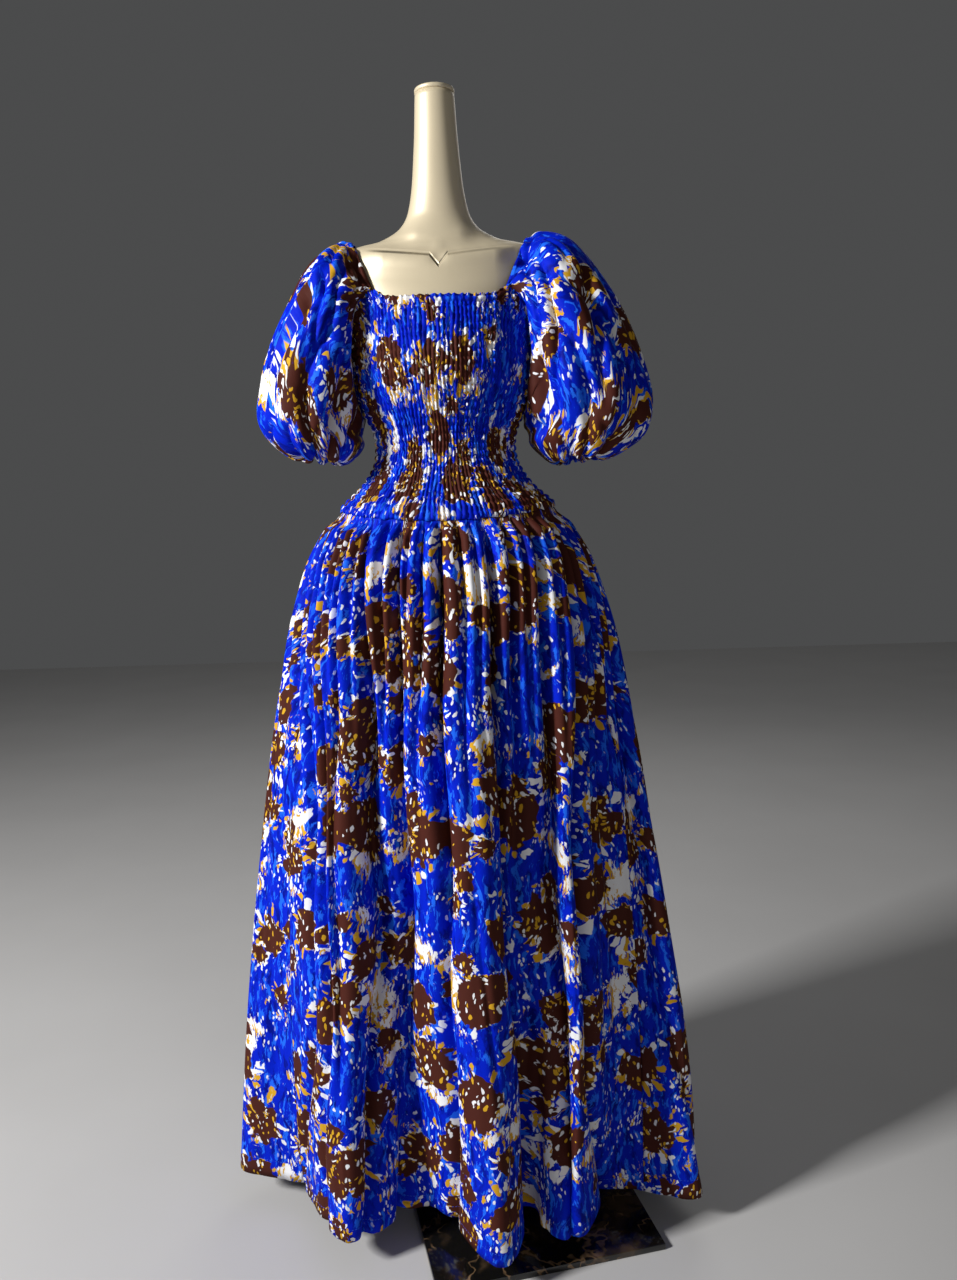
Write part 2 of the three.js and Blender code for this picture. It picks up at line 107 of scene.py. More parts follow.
# The upper edge of each bodice panel, by the angle from its centre line.
FRONT_EDGE = table("angle height", [
    (0, 1.387),
    (24, 1.388),
    (34, 1.392),
    (CORNER_ANGLE, 1.400),
    (50, 1.389),
    (58, 1.371),
    (66, 1.343),
    (74, 1.306),
    (82, 1.270),
    (90, 1.245),
])
BACK_EDGE = table("angle height", [
    (0, 1.404),
    (24, 1.405),
    (34, 1.409),
    (CORNER_ANGLE, 1.417),
    (50, 1.405),
    (58, 1.384),
    (66, 1.352),
    (74, 1.312),
    (82, 1.272),
    (90, 1.245),
])
# The elastic neck edge of a sleeve, from the front corner over the shoulder to the back one.
NECK_EDGE = table("turn angle height", [
    (46, 42.3, 1.416),
    (36, 45.6, 1.438),
    (24, 50.5, 1.458),
    (12, 64, 1.468),
    (0, 90, 1.4715),
    (-12, 116, 1.4685),
    (-24, 129.5, 1.461),
    (-36, 134.4, 1.447),
    (-46, 137.7, 1.432),
])
# Rings round each sleeve, from its gathered neck edge to its cuff, and how far its puffs rise.
SLEEVE_COLUMNS = "inner_x inner_z outer_x outer_z depth puff"
SLEEVE_RINGS = {
    "left": table(SLEEVE_COLUMNS, [
        (0.127, 1.237, 0.142, 1.474, 0.086, 0.003),
        (0.128, 1.230, 0.178, 1.446, 0.093, 0.005),
        (0.128, 1.223, 0.213, 1.384, 0.100, 0.006),
        (0.127, 1.216, 0.245, 1.320, 0.104, 0.006),
        (0.127, 1.208, 0.262, 1.256, 0.104, 0.006),
        (0.129, 1.198, 0.254, 1.220, 0.100, 0.005),
        (0.137, 1.187, 0.236, 1.197, 0.088, 0.005),
        (0.151, 1.178, 0.214, 1.183, 0.066, 0.004),
        (0.153, 1.191, 0.212, 1.196, 0.046, 0.003),
    ]),
    "right": table(SLEEVE_COLUMNS, [
        (0.127, 1.237, 0.145, 1.480, 0.082, 0.003),
        (0.128, 1.230, 0.188, 1.460, 0.096, 0.005),
        (0.128, 1.222, 0.228, 1.402, 0.106, 0.006),
        (0.128, 1.214, 0.267, 1.324, 0.112, 0.007),
        (0.128, 1.205, 0.292, 1.258, 0.112, 0.007),
        (0.131, 1.195, 0.286, 1.210, 0.106, 0.006),
        (0.141, 1.183, 0.262, 1.186, 0.092, 0.005),
        (0.158, 1.170, 0.230, 1.172, 0.068, 0.004),
        (0.162, 1.184, 0.226, 1.186, 0.046, 0.003),
    ]),
}
SLEEVE_PUFFS = 12
# How a sleeve leaves the form: its slope up from the skin in degrees, and how far that runs.
SLEEVE_START = {"armhole": (80.0, 0.008), "neck": (25.0, 0.009)}

# The skirt's plain rings, before its folds.
SKIRT_RINGS = table("height half_width front back", [
    (0.050, 0.363, 0.160, 0.180),
    (0.200, 0.349, 0.160, 0.180),
    (0.360, 0.332, 0.160, 0.180),
    (0.520, 0.312, 0.160, 0.178),
    (0.680, 0.289, 0.160, 0.176),
    (0.800, 0.268, 0.158, 0.172),
    (0.930, 0.241, 0.150, 0.163),
    (1.020, 0.209, 0.133, 0.143),
    (1.050, 0.194, 0.122, 0.130),
    (1.085, 0.173, 0.104, 0.109),
    (1.100, 0.161, 0.098, 0.101),
])
# The skirt's large folds: where each ridge or hollow starts round the seam and ends at the hem.
SKIRT_FOLDS = table("at x y", [
    (-92, -0.370, 0.022),
    (-68, -0.268, -0.024),
    (-50, -0.172, -0.158),
    (-29, -0.062, -0.084),
    (4, 0.048, -0.212),
    (29, 0.090, -0.130),
    (45, 0.150, -0.170),
    (62, 0.224, -0.058),
    (78, 0.352, -0.082),
    (97, 0.322, 0.026),
    (116, 0.276, 0.150),
    (132, 0.186, 0.132),
    (150, 0.108, 0.212),
    (171, 0.022, 0.138),
    (191, -0.072, 0.214),
    (211, -0.150, 0.130),
    (230, -0.236, 0.166),
    (249, -0.300, 0.084),
])
# How deep the skirt's gathers are, from ridge to hollow, down from the seam (0) to the hem (1).
GATHER_DEPTHS = table("down depth", [
    (0, 0.007),
    (0.022, 0.014),
    (0.06, 0.018),
    (0.13, 0.020),
    (0.24, 0.017),
    (0.38, 0.018),
    (0.56, 0.018),
    (0.77, 0.018),
    (1, 0.016),
])
# The hollows between the gathers: the angle at the seam, how far each leans by the hem, how far it
# bows on the way, how deep it is next to the rest, and how far down it stays.
HOLLOWS = table("at lean bow strength reach", [
    (-83, 10, 16, 1.0, 0.35),
    (-74, 7, 12, 1.5, 1.0),
    (-66, 4, 8, 0.9, 0.3),
    (-60, 2, 6, 1.7, 0.9),
    (-54, -1, 5, 0.8, 0.25),
    (-49, -4, 4, 1.2, 0.6),
    (-42.5, -7, 7, 0.8, 0.2),
    (-38, -8, 9, 2.2, 1.2),
    (-28, -13, 4, 1.3, 0.3),
    (-21, -15, 3, 2.4, 1.8),
    (-16, -14, 0, 0.7, 0.2),
    (-10.5, -14, 0, 1.3, 0.3),
    (-3, -14, 0, 2.1, 1.1),
    (5, -6, 0, 1.1, 0.3),
    (11, 0, -2, 0.8, 0.2),
    (17, 13, -5, 3.0, 1.8),
    (27, 9, -8, 1.4, 0.7),
    (33, 7, -7, 0.8, 0.25),
    (41, 4, -8, 2.2, 1.4),
    (48.5, 2, -8, 0.8, 0.22),
    (57, 1, -9, 2.4, 1.6),
    (63, 2, -8, 1.3, 0.55),
    (70, 1, -10, 1.2, 0.6),
    (78, -2, -12, 1.2, 0.45),
    (87, -3, -16, 1.6, 0.9),
    (95, -1, -12, 1.0, 0.4),
    (103, 0, -8, 1.9, 0.9),
    (110, -1, -5, 0.9, 0.3),
    (118, 1, -3, 1.1, 0.4),
    (125, 2, 0, 0.8, 0.25),
    (133, 0, 2, 2.4, 1.3),
    (142, -2, 2, 0.9, 0.3),
    (149, -2, 0, 1.2, 0.45),
    (158, 1, -2, 0.9, 0.25),
    (165, 3, -4, 1.3, 0.6),
    (173, 1, -3, 2.5, 1.5),
    (181, -1, 0, 0.9, 0.25),
    (188, -3, 3, 1.1, 0.4),
    (197, 1, 4, 0.8, 0.25),
    (204, 3, 4, 1.3, 0.55),
    (212, 1, 2, 2.4, 1.4),
    (221, -1, 0, 0.9, 0.3),
    (228, -1, -2, 1.2, 0.45),
    (237, 2, 0, 0.9, 0.25),
    (244, 4, 4, 2.0, 1.0),
    (253, 5, 8, 0.9, 0.3),
    (261, 7, 11, 1.2, 0.5),
    (270, 8, 14, 0.8, 0.28),
])
# Soft creases in the skirt: the middle angle, how far down, half length, depth, half width in
# degrees, and how far it leans in degrees from end to end. A negative depth is a ridge.
SKIRT_CREASES = table("at down reach depth width lean", [
    (-78, 0.66, 0.26, 0.006, 2.8, 5),
    (-58, 0.34, 0.16, 0.004, 2.0, 4),
    (-47, 0.62, 0.22, 0.005, 1.8, -3),
    (-34.5, 0.74, 0.26, 0.007, 1.6, -3),
    (-13, 0.80, 0.22, 0.006, 1.4, -6),
    (-9, 0.50, 0.16, -0.004, 2.0, -3),
    (4, 0.62, 0.26, 0.005, 1.6, 5),
    (11, 0.36, 0.14, 0.004, 1.4, 2),
    (12, 0.88, 0.14, 0.005, 1.4, -3),
    (33, 0.46, 0.22, 0.006, 1.5, -3),
    (38, 0.84, 0.16, 0.006, 1.5, 3),
    (44, 0.62, 0.20, -0.004, 1.8, 2),
    (66, 0.74, 0.26, 0.009, 2.2, 3),
    (84, 0.50, 0.24, 0.007, 2.8, 5),
    (90, 0.80, 0.16, -0.004, 2.6, -3),
    (106, 0.36, 0.20, 0.006, 2.4, 3),
    (122, 0.66, 0.22, 0.007, 2.2, -4),
    (142, 0.44, 0.18, 0.005, 2.0, 4),
    (160, 0.78, 0.18, 0.007, 2.0, -3),
    (182, 0.50, 0.22, 0.006, 2.0, 4),
    (202, 0.72, 0.18, 0.006, 2.0, 3),
    (222, 0.42, 0.20, 0.006, 2.2, -4),
    (238, 0.80, 0.16, 0.006, 2.2, 3),
    (256, 0.54, 0.24, 0.007, 2.8, -5),
    (272, 0.34, 0.18, -0.004, 2.6, 3),
])
# Soft folds in the sleeves, each a line of (row along the sleeve, turn round it from its top),
# with its depth and its half width in degrees. Turns above 0 are in front.
SLEEVE_FOLDS = {
    "left": (
        (0.0098, 4.5, ((1.4, 33), (1.9, 60), (2.3, 80), (3.2, 92))),
        (0.0084, 4.0, ((1.2, 44), (1.5, 80), (1.8, 104), (2.6, 112))),
        (0.0084, 4.5, ((1.8, 26), (2.3, 48), (2.8, 68), (3.8, 84))),
        (0.0042, 5.0, ((2.4, 16), (3.0, 44), (3.8, 74), (4.6, 84))),
        (0.0154, 6.5, ((1.6, 136), (3.8, 130), (5.7, 131), (8.2, 140))),
        (0.0056, 5.0, ((5.4, 14), (5.0, 50), (5.0, 92))),
        (0.0084, 5.0, ((6.0, 62), (7.4, 36), (9.0, 30))),
        (0.0084, 5.0, ((6.2, 84), (8.0, 60), (9.4, 56))),
        (0.0084, 5.0, ((6.2, 112), (8.0, 100), (9.4, 98))),
        (0.007, 4.0, ((1.2, 12), (2.2, 6), (3.6, 2), (5.2, -4))),
        (0.0084, 4.5, ((1.3, -14), (2.2, -28), (3.4, -36), (5.0, -34))),
        (0.0098, 4.5, ((1.3, -36), (2.0, -62), (3.2, -78), (5.4, -76))),
        (0.0084, 5.0, ((1.6, -84), (3.0, -104), (5.0, -108))),
        (0.0112, 6.0, ((1.8, -138), (4.0, -132), (6.4, -134))),
        (0.007, 5.0, ((6.0, -20), (7.6, -16), (9.2, -14))),
        (0.0084, 5.0, ((6.0, -58), (7.6, -52), (9.2, -56))),
        (0.0084, 5.0, ((6.2, -96), (7.6, -92), (9.2, -94))),
    ),
    "right": (
        (0.0112, 4.5, ((1.3, 36), (1.7, 66), (2.0, 94), (2.6, 112))),
        (0.0126, 4.5, ((1.6, 42), (2.2, 66), (2.9, 90), (4.0, 114), (5.4, 126))),
        (0.0182, 5.5, ((1.4, 10), (2.4, 20), (3.2, 36), (4.0, 58), (4.8, 76), (6.0, 84))),
        (0.0126, 7.0, ((1.5, 100), (2.4, 122), (5.2, 142), (7.0, 146))),
        (0.0084, 5.0, ((4.2, 34), (5.2, 58), (6.4, 70), (7.6, 68))),
        (0.0084, 4.5, ((2.6, -2), (3.8, 14), (5.0, 34), (6.4, 46))),
        (0.007, 4.0, ((1.2, 22), (2.0, 30), (2.7, 44), (3.4, 58))),
        (0.0084, 5.0, ((6.2, 112), (8.0, 112), (9.4, 110))),
        (0.0084, 5.0, ((6.4, 90), (8.0, 68), (9.4, 64))),
        (0.0084, 5.0, ((6.4, 52), (7.8, 28), (9.4, 26))),
        (0.0084, 4.0, ((1.2, -6), (2.2, -12), (3.6, -16), (5.4, -12))),
        (0.0098, 4.5, ((1.3, -22), (2.2, -40), (3.4, -52), (5.2, -50))),
        (0.0098, 4.5, ((1.3, -42), (2.0, -72), (3.2, -90), (5.4, -92))),
        (0.0084, 5.0, ((1.6, -92), (3.0, -112), (5.0, -116))),
        (0.0112, 6.0, ((1.8, -142), (4.0, -136), (6.4, -138))),
        (0.007, 5.0, ((6.0, -4), (7.6, -8), (9.2, -10))),
        (0.0084, 5.0, ((6.0, -44), (7.6, -40), (9.2, -42))),
        (0.0084, 5.0, ((6.2, -84), (7.6, -78), (9.2, -80))),
    ),
}


class DressSizes(bpy.types.PropertyGroup):
    """The sizes of the dress."""

    cloth: FloatProperty(
        name="Cloth", description="Thickness of the cloth", default=0.0008, min=0.0003, unit="LENGTH"
    )
    hem_height: FloatProperty(
        name="Hem height", description="From the floor to the hem", default=0.05, unit="LENGTH"
    )
    waist_front: FloatProperty(
        name="Waist seam, front", description="Height of the seam in front", default=1.085, unit="LENGTH"
    )
    waist_side: FloatProperty(
        name="Waist seam, side", description="Height of the seam at the sides", default=1.1, unit="LENGTH"
    )
    ribs: IntProperty(name="Ribs", description="Shirring ribs on each bodice panel", default=68, min=20)
    rib_depth: FloatProperty(
        name="Rib depth", description="How far a rib stands out", default=0.0042, unit="LENGTH"
    )
    elastic_pitch: FloatProperty(
        name="Elastic pitch", description="Between two rows of elastic", default=0.0115, unit="LENGTH"
    )
    casing: FloatProperty(
        name="Neck casing", description="Height of the elastic casing", default=0.012, unit="LENGTH"
    )
    bodice_width: FloatProperty(
        name="Bodice print", description="Width of print that a panel shows", default=0.85, unit="LENGTH"
    )
    bodice_cut: FloatProperty(
        name="Bodice cloth", description="Width of cloth in a panel's ribs", default=0.6, unit="LENGTH"
    )
    sleeve_width: FloatProperty(
        name="Sleeve width", description="Flat width of a sleeve", default=0.66, unit="LENGTH"
    )
    hem_turn: FloatProperty(
        name="Hem turn", description="Depth of the turned hem", default=0.022, unit="LENGTH"
    )


class DressColours(bpy.types.PropertyGroup):
    """The colours of the printed cloth."""

    ground: FloatVectorProperty(
        name="Ground", description="Royal blue ground", subtype="COLOR", size=4,
        default=(0.0008, 0.014, 0.50, 1),
    )
    shade: FloatVectorProperty(
        name="Shade", description="Darker blue brush strokes", subtype="COLOR", size=4,
        default=(0.0006, 0.005, 0.22, 1),
    )
    light: FloatVectorProperty(
        name="Light", description="Lighter blue brush strokes", subtype="COLOR", size=4,
        default=(0.016, 0.15, 0.90, 1),
    )
    brown: FloatVectorProperty(
        name="Brown", description="Brown flowers", subtype="COLOR", size=4,
        default=(0.062, 0.016, 0.011, 1),
    )
    ochre: FloatVectorProperty(
        name="Ochre", description="Ochre rims and strokes", subtype="COLOR", size=4,
        default=(0.60, 0.33, 0.02, 1),
    )
    white: FloatVectorProperty(
        name="White", description="White petals and flecks", subtype="COLOR", size=4,
        default=(0.78, 0.78, 0.8, 1),
    )


class FormSizes(bpy.types.PropertyGroup):
    """The faces and colour of the dress form."""

    columns: IntProperty(name="Columns", description="Faces round the form", default=128, min=32)
    skin: FloatVectorProperty(
        name="Skin", description="Champagne-gold lacquer", subtype="COLOR", size=4,
        default=(0.76, 0.65, 0.45, 1),
    )


class StandSizes(bpy.types.PropertyGroup):
    """The sizes and colours of the pole and base."""

    base_side: FloatProperty(name="Base", description="Side of the base", default=0.346, unit="LENGTH")
    base_thick: FloatProperty(
        name="Base thickness", description="Thickness of the base", default=0.01, unit="LENGTH"
    )
    base_turn: FloatProperty(
        name="Base turn", description="How far the base is turned", default=math.radians(13.2),
        subtype="ANGLE",
    )
    pole_x: FloatProperty(
        name="Pole place", description="The pole, from the form's axis", default=0.083, unit="LENGTH"
    )
    pole_radius: FloatProperty(
        name="Pole radius", description="Radius of the pole", default=0.0125, unit="LENGTH"
    )
    steel: FloatVectorProperty(
        name="Steel", description="Brushed steel", subtype="COLOR", size=4, default=(0.55, 0.55, 0.56, 1)
    )
    stone: FloatVectorProperty(
        name="Stone", description="Black marble", subtype="COLOR", size=4,
        default=(0.006, 0.0055, 0.005, 1),
    )
    vein: FloatVectorProperty(
        name="Vein", description="Veins in the marble", subtype="COLOR", size=4,
        default=(0.20, 0.12, 0.06, 1),
    )


class StageSizes(bpy.types.PropertyGroup):
    """Where the camera is, how it is turned, and its focal length."""

    camera_place: FloatVectorProperty(
        name="Camera", description="Place of the camera", size=3, subtype="TRANSLATION",
        default=(0.0392, -1.485, 1.1),
    )
    camera_pitch: FloatProperty(
        name="Pitch", description="How far the camera looks down", default=math.radians(7.46),
        subtype="ANGLE",
    )
    camera_roll: FloatProperty(
        name="Roll", description="How far the camera leans", default=math.radians(1.69),
        subtype="ANGLE",
    )
    focal: FloatProperty(name="Focal length", description="In millimetres", default=28.125)


def unit(vectors):
    """Vectors made one long."""
    return vectors / np.maximum(np.linalg.norm(vectors, axis=-1, keepdims=True), 1e-12)


def blend(low, high, share):
    """From low to high by a share, with soft ends."""
    t = np.clip(share, 0, 1)
    return low + (high - low) * t * t * (3 - 2 * t)


def curve(t, start, leave, end, arrive):
    """A curve from a start to an end, with the slopes that it leaves and arrives with."""
    return (
        (2 * t**3 - 3 * t**2 + 1) * start
        + (t**3 - 2 * t**2 + t) * leave
        + (3 * t**2 - 2 * t**3) * end
        + (t**3 - t**2) * arrive
    )


def smooth(rows, along, column):
    """A smooth curve through one column of a table, read along another."""
    order = np.argsort(rows[along])
    at, value = rows[along][order], rows[column][order]
    slope = np.gradient(value, at)
    slope[1:-1] = (value[2:] - value[:-2]) / (at[2:] - at[:-2])

    def read(place):
        i = np.clip(np.searchsorted(at, place) - 1, 0, len(at) - 2)
        span = at[i + 1] - at[i]
        t = np.clip((place - at[i]) / span, 0, 1)
        return curve(t, value[i], span * slope[i], value[i + 1], span * slope[i + 1])

    return read


def ring_sizes(rows):
    """The half width, the front's depth and the back's depth of level rings, by their height."""
    return [smooth(rows, "height", c) for c in ("half_width", "front", "back")]


def ring_shape(rows):
    """Level rings at any height: their points at an angle from the centre front."""
    half_width, front, back = ring_sizes(rows)

    def point(angle, height):
        angle, height = np.broadcast_arrays(np.asarray(angle, float), np.asarray(height, float))
        c = np.cos(np.radians(angle))
        depth = np.where(c > 0, front(height), back(height))
        return np.stack([half_width(height) * np.sin(np.radians(angle)), -depth * c, height], -1)

    return point


form_point = ring_shape(FORM_RINGS)
skirt_point = ring_shape(SKIRT_RINGS)


def form_normal(angle, height):
    """The direction out of the form's skin."""
    around = form_point(angle + 0.5, height) - form_point(angle - 0.5, height)
    up = form_point(angle, height + 0.0005) - form_point(angle, height - 0.0005)
    return unit(np.cross(around, up))


def on_form(angle, height, off):
    """Points off the form's skin."""
    return form_point(angle, height) + form_normal(angle, height) * np.asarray(off)[..., None]


def waist_seam(angle):
    """The height of the waist seam at an angle."""
    sizes = bpy.context.scene.dress_sizes
    rise = (sizes.waist_side - sizes.waist_front) * np.sin(np.radians(angle)) ** 2
    return sizes.waist_front + rise + 0.0014 * uneven(4, 23, 31, 47)(angle)


def trough(distance, width):
    """A soft hollow: 1 in its middle, falling away on both sides."""
    return 1 / (1 + (distance / width) ** 2)


def window(distance, reach):
    """1 in the middle of a stretch and 0 past its ends."""
    return blend(0, 1, 1.6 * (1 - np.abs(distance) / reach))


def grid_normals(points, around):
    """The way out of a grid of points, row by row."""
    if around:
        across = np.roll(points, -1, axis=1) - np.roll(points, 1, axis=1)
    else:
        across = np.gradient(points, axis=1)
    along = np.gradient(points, axis=0)
    return unit(np.cross(across, along))


def arc_along(points):
    """How far each point is along its column, from the first row."""
    steps = np.linalg.norm(np.diff(points, axis=0), axis=-1)
    return np.concatenate([np.zeros((1, points.shape[1])), np.cumsum(steps, axis=0)])


def in_scene(thing):
    """Puts an object into the scene."""
    bpy.context.scene.collection.objects.link(thing)
    return thing


def shell(name, outer, cloth_uv, around=False):
    """A closed thin shell under a grid of points, with a UV map of the flat cloth.

    Rows run up and columns to the right as seen from outside. With around, the last column
    joins the first, and the UV grid has one column more.
    """
    rows, columns = outer.shape[:2]
    inner = outer - grid_normals(outer, around) * bpy.context.scene.dress_sizes.cloth
    points = np.concatenate([outer.reshape(-1, 3), inner.reshape(-1, 3)])
    index = np.arange(rows * columns).reshape(rows, columns)
    uv_index = np.arange(rows * cloth_uv.shape[1]).reshape(rows, -1)
    if around:
        index = np.concatenate([index, index[:, :1]], axis=1)

    def quads(grid):
        return np.stack([grid[:-1, :-1], grid[:-1, 1:], grid[1:, 1:], grid[1:, :-1]], -1).reshape(-1, 4)

    def rim(line, shift):
        return np.stack([line[1:], line[:-1], line[:-1] + shift, line[1:] + shift], -1)

    inside = rows * columns
    faces = [quads(index), quads(index)[:, ::-1] + inside, rim(index[0], inside)]
    faces.append(rim(index[-1], inside)[:, ::-1])
    corners = [quads(uv_index), quads(uv_index)[:, ::-1], rim(uv_index[0], 0)]
    corners.append(rim(uv_index[-1], 0)[:, ::-1])
    if not around:
        faces += [rim(index[:, 0], inside)[:, ::-1], rim(index[:, -1], inside)]
        corners += [rim(uv_index[:, 0], 0)[:, ::-1], rim(uv_index[:, -1], 0)]
    mesh = bpy.data.meshes.new(name)
    mesh.from_pydata(points, [], np.concatenate(faces))
    flat = mesh.uv_layers.new(name="flat_cloth")
    flat.data.foreach_set("uv", cloth_uv.reshape(-1, 2)[np.concatenate(corners).ravel()].ravel())
    mesh.shade_smooth()
    return in_scene(bpy.data.objects.new(name, mesh))


def finish_piece(piece, material, slot, *nodes):
    """Gives a piece its material and body, and hides the solids that it stands for. Its slot is not used.
    """
    piece.data.materials.clear()
    piece.data.materials.append(material)
    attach(piece, "root")
    if nodes:
        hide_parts(*nodes)


def uneven(seed, *waves):
    """A smooth uneven line round a whole turn, about -1 to 1, for an angle in degrees."""
    phases = np.random.default_rng(seed).uniform(0, 360, len(waves))

    def read(angle):
        return sum(np.sin(np.radians(n * angle + p)) for n, p in zip(waves, phases)) / len(waves)

    return read


class Tree:
    """Builds a material's nodes."""

    def __init__(self, name):
        self.material = bpy.data.materials.new(name)
        self.material.use_nodes = True
        self.nodes = self.material.node_tree.nodes
        self.links = self.material.node_tree.links
        self.shader = self.nodes["Principled BSDF"]

    def add(self, kind, inputs=(), **settings):
        """A node with its settings, and its inputs by name or number."""
        made = self.nodes.new("ShaderNode" + kind)
        for key, value in settings.items():
            setattr(made, key, value)
        for key, value in dict(inputs).items():
            self.put(made.inputs[key], value)
        return made

    def put(self, socket, value):
        """Links a socket or sets its value."""
        if isinstance(value, bpy.types.NodeSocket):
            self.links.new(value, socket)
        else:
            socket.default_value = value

    def math(self, operation, a, b=0.0, c=0.0):
        """One sum."""
        return self.add("Math", {0: a, 1: b, 2: c}, operation=operation).outputs[0]

    def vector(self, operation, a, b=(0, 0, 0)):
        """One sum of vectors."""
        return self.add("VectorMath", {0: a, 1: b}, operation=operation).outputs[0]

    def times(self, a, b):
        """One value times another, such as two masks."""
        return self.math("MULTIPLY", a, b)

    def rest(self, mask):
        """Where a mask doesn't hold."""
        return self.math("SUBTRACT", 1.0, mask)

    def above(self, value, limit):
        """1 where a value is over a limit."""
        return self.math("GREATER_THAN", value, limit)

    def parts(self, vector):
        """The x, y and z of a vector."""
        return self.add("SeparateXYZ", {0: vector}).outputs

    def chances(self, cell):
        """Three numbers that differ from cell to cell."""
        return self.add("SeparateColor", {0: cell.outputs["Color"]}).outputs

    def sway(self, place, scale, detail, reach):
        """An uneven push to all sides."""
        uneven_colour = self.noise(place, scale, detail).outputs["Color"]
        return self.vector("MULTIPLY", self.vector("SUBTRACT", uneven_colour, (0.5, 0.5, 0.5)), reach)

    def noise(self, place, scale, detail=2.0, roughness=0.5):
        """A noise texture; outputs Fac and Color."""
        values = {"Vector": place, "Scale": scale, "Detail": detail, "Roughness": roughness}
        return self.add("TexNoise", values)

    def cells(self, place, scale, randomness=1.0, solid=False):
        """A cell texture, flat or solid; outputs Distance, Color and Position."""
        return self.add(
            "TexVoronoi", {"Vector": place, "Scale": scale, "Randomness": randomness},
            voronoi_dimensions="3D" if solid else "2D",
        )

    def moved(self, place, scale, turn=0.0, offset=(0, 0, 0)):
        """A place stretched, turned and moved."""
        return self.add(
            "Mapping",
            {"Vector": place, "Scale": scale, "Rotation": (0, 0, turn), "Location": offset},
        ).outputs[0]

    def step(self, value, edge, soft=0.03):
        """0 below an edge and 1 above it, over a narrow soft band."""
        return self.add(
            "MapRange",
            {"Value": value, "From Min": edge - soft, "From Max": edge + soft},
            interpolation_type="SMOOTHSTEP",
        ).outputs[0]

    def mix(self, share, low, high):
        """Two colours mixed by a share."""
        made = self.add("Mix", data_type="RGBA")
        self.put(made.inputs[0], share)
        self.put(made.inputs[6], low)
        self.put(made.inputs[7], high)
        return made.outputs[2]

    def bump(self, height, strength, distance, normal=None):
        """A bump from a height."""
        made = self.add("Bump", {"Height": height, "Strength": strength, "Distance": distance})
        if normal is not None:
            self.put(made.inputs["Normal"], normal)
        return made.outputs["Normal"]

    def finish(self, **inputs):
        """Sets the shader's inputs, with underscores for spaces, and gives the material."""
        for key, value in inputs.items():
            self.put(self.shader.inputs[key.replace("_", " ")], value)
        return self.material


def made_once(name):
    """The first call of a function makes its material, and later calls find it again."""

    def ready(make):
        return lambda: bpy.data.materials.get(name) or make(Tree(name))

    return ready


def brushed_ground(tree, place, shade, ground, light):
    """A blue ground with darker and lighter brush strokes; gives it and the darker strokes."""
    strokes = tree.noise(tree.moved(place, (84, 28, 1), 0.6), 1, 4, 0.6).outputs[0]
    colour = tree.mix(tree.step(strokes, 0.44, 0.08), shade, ground)
    bright = tree.noise(tree.moved(place, (105, 30, 1), -0.5, (3, 7, 0)), 1, 4, 0.65).outputs[0]
    return tree.mix(tree.times(tree.step(bright, 0.56, 0.03), 0.8), colour, light), strokes


def broken_patches(tree, place, colour, strokes, ochre, white):
    """Broken white patches with ochre on one side and blue marks in them."""

    def patch(there):
        ragged = tree.noise(tree.moved(there, (130, 46, 1), 0.35), 1, 3, 0.6).outputs[0]
        clouds = tree.noise(there, 13, 2, 0.55).outputs[0]
        return tree.math("MULTIPLY_ADD", ragged, 0.5, clouds)

    beside = tree.vector("ADD", place, (0.006, 0.004, 0))
    colour = tree.mix(tree.step(patch(beside), 0.885, 0.008), colour, ochre)
    whites = tree.step(patch(place), 0.885, 0.008)
    whites = tree.times(whites, tree.rest(tree.step(strokes, 0.58, 0.02)))
    return tree.mix(whites, colour, white)


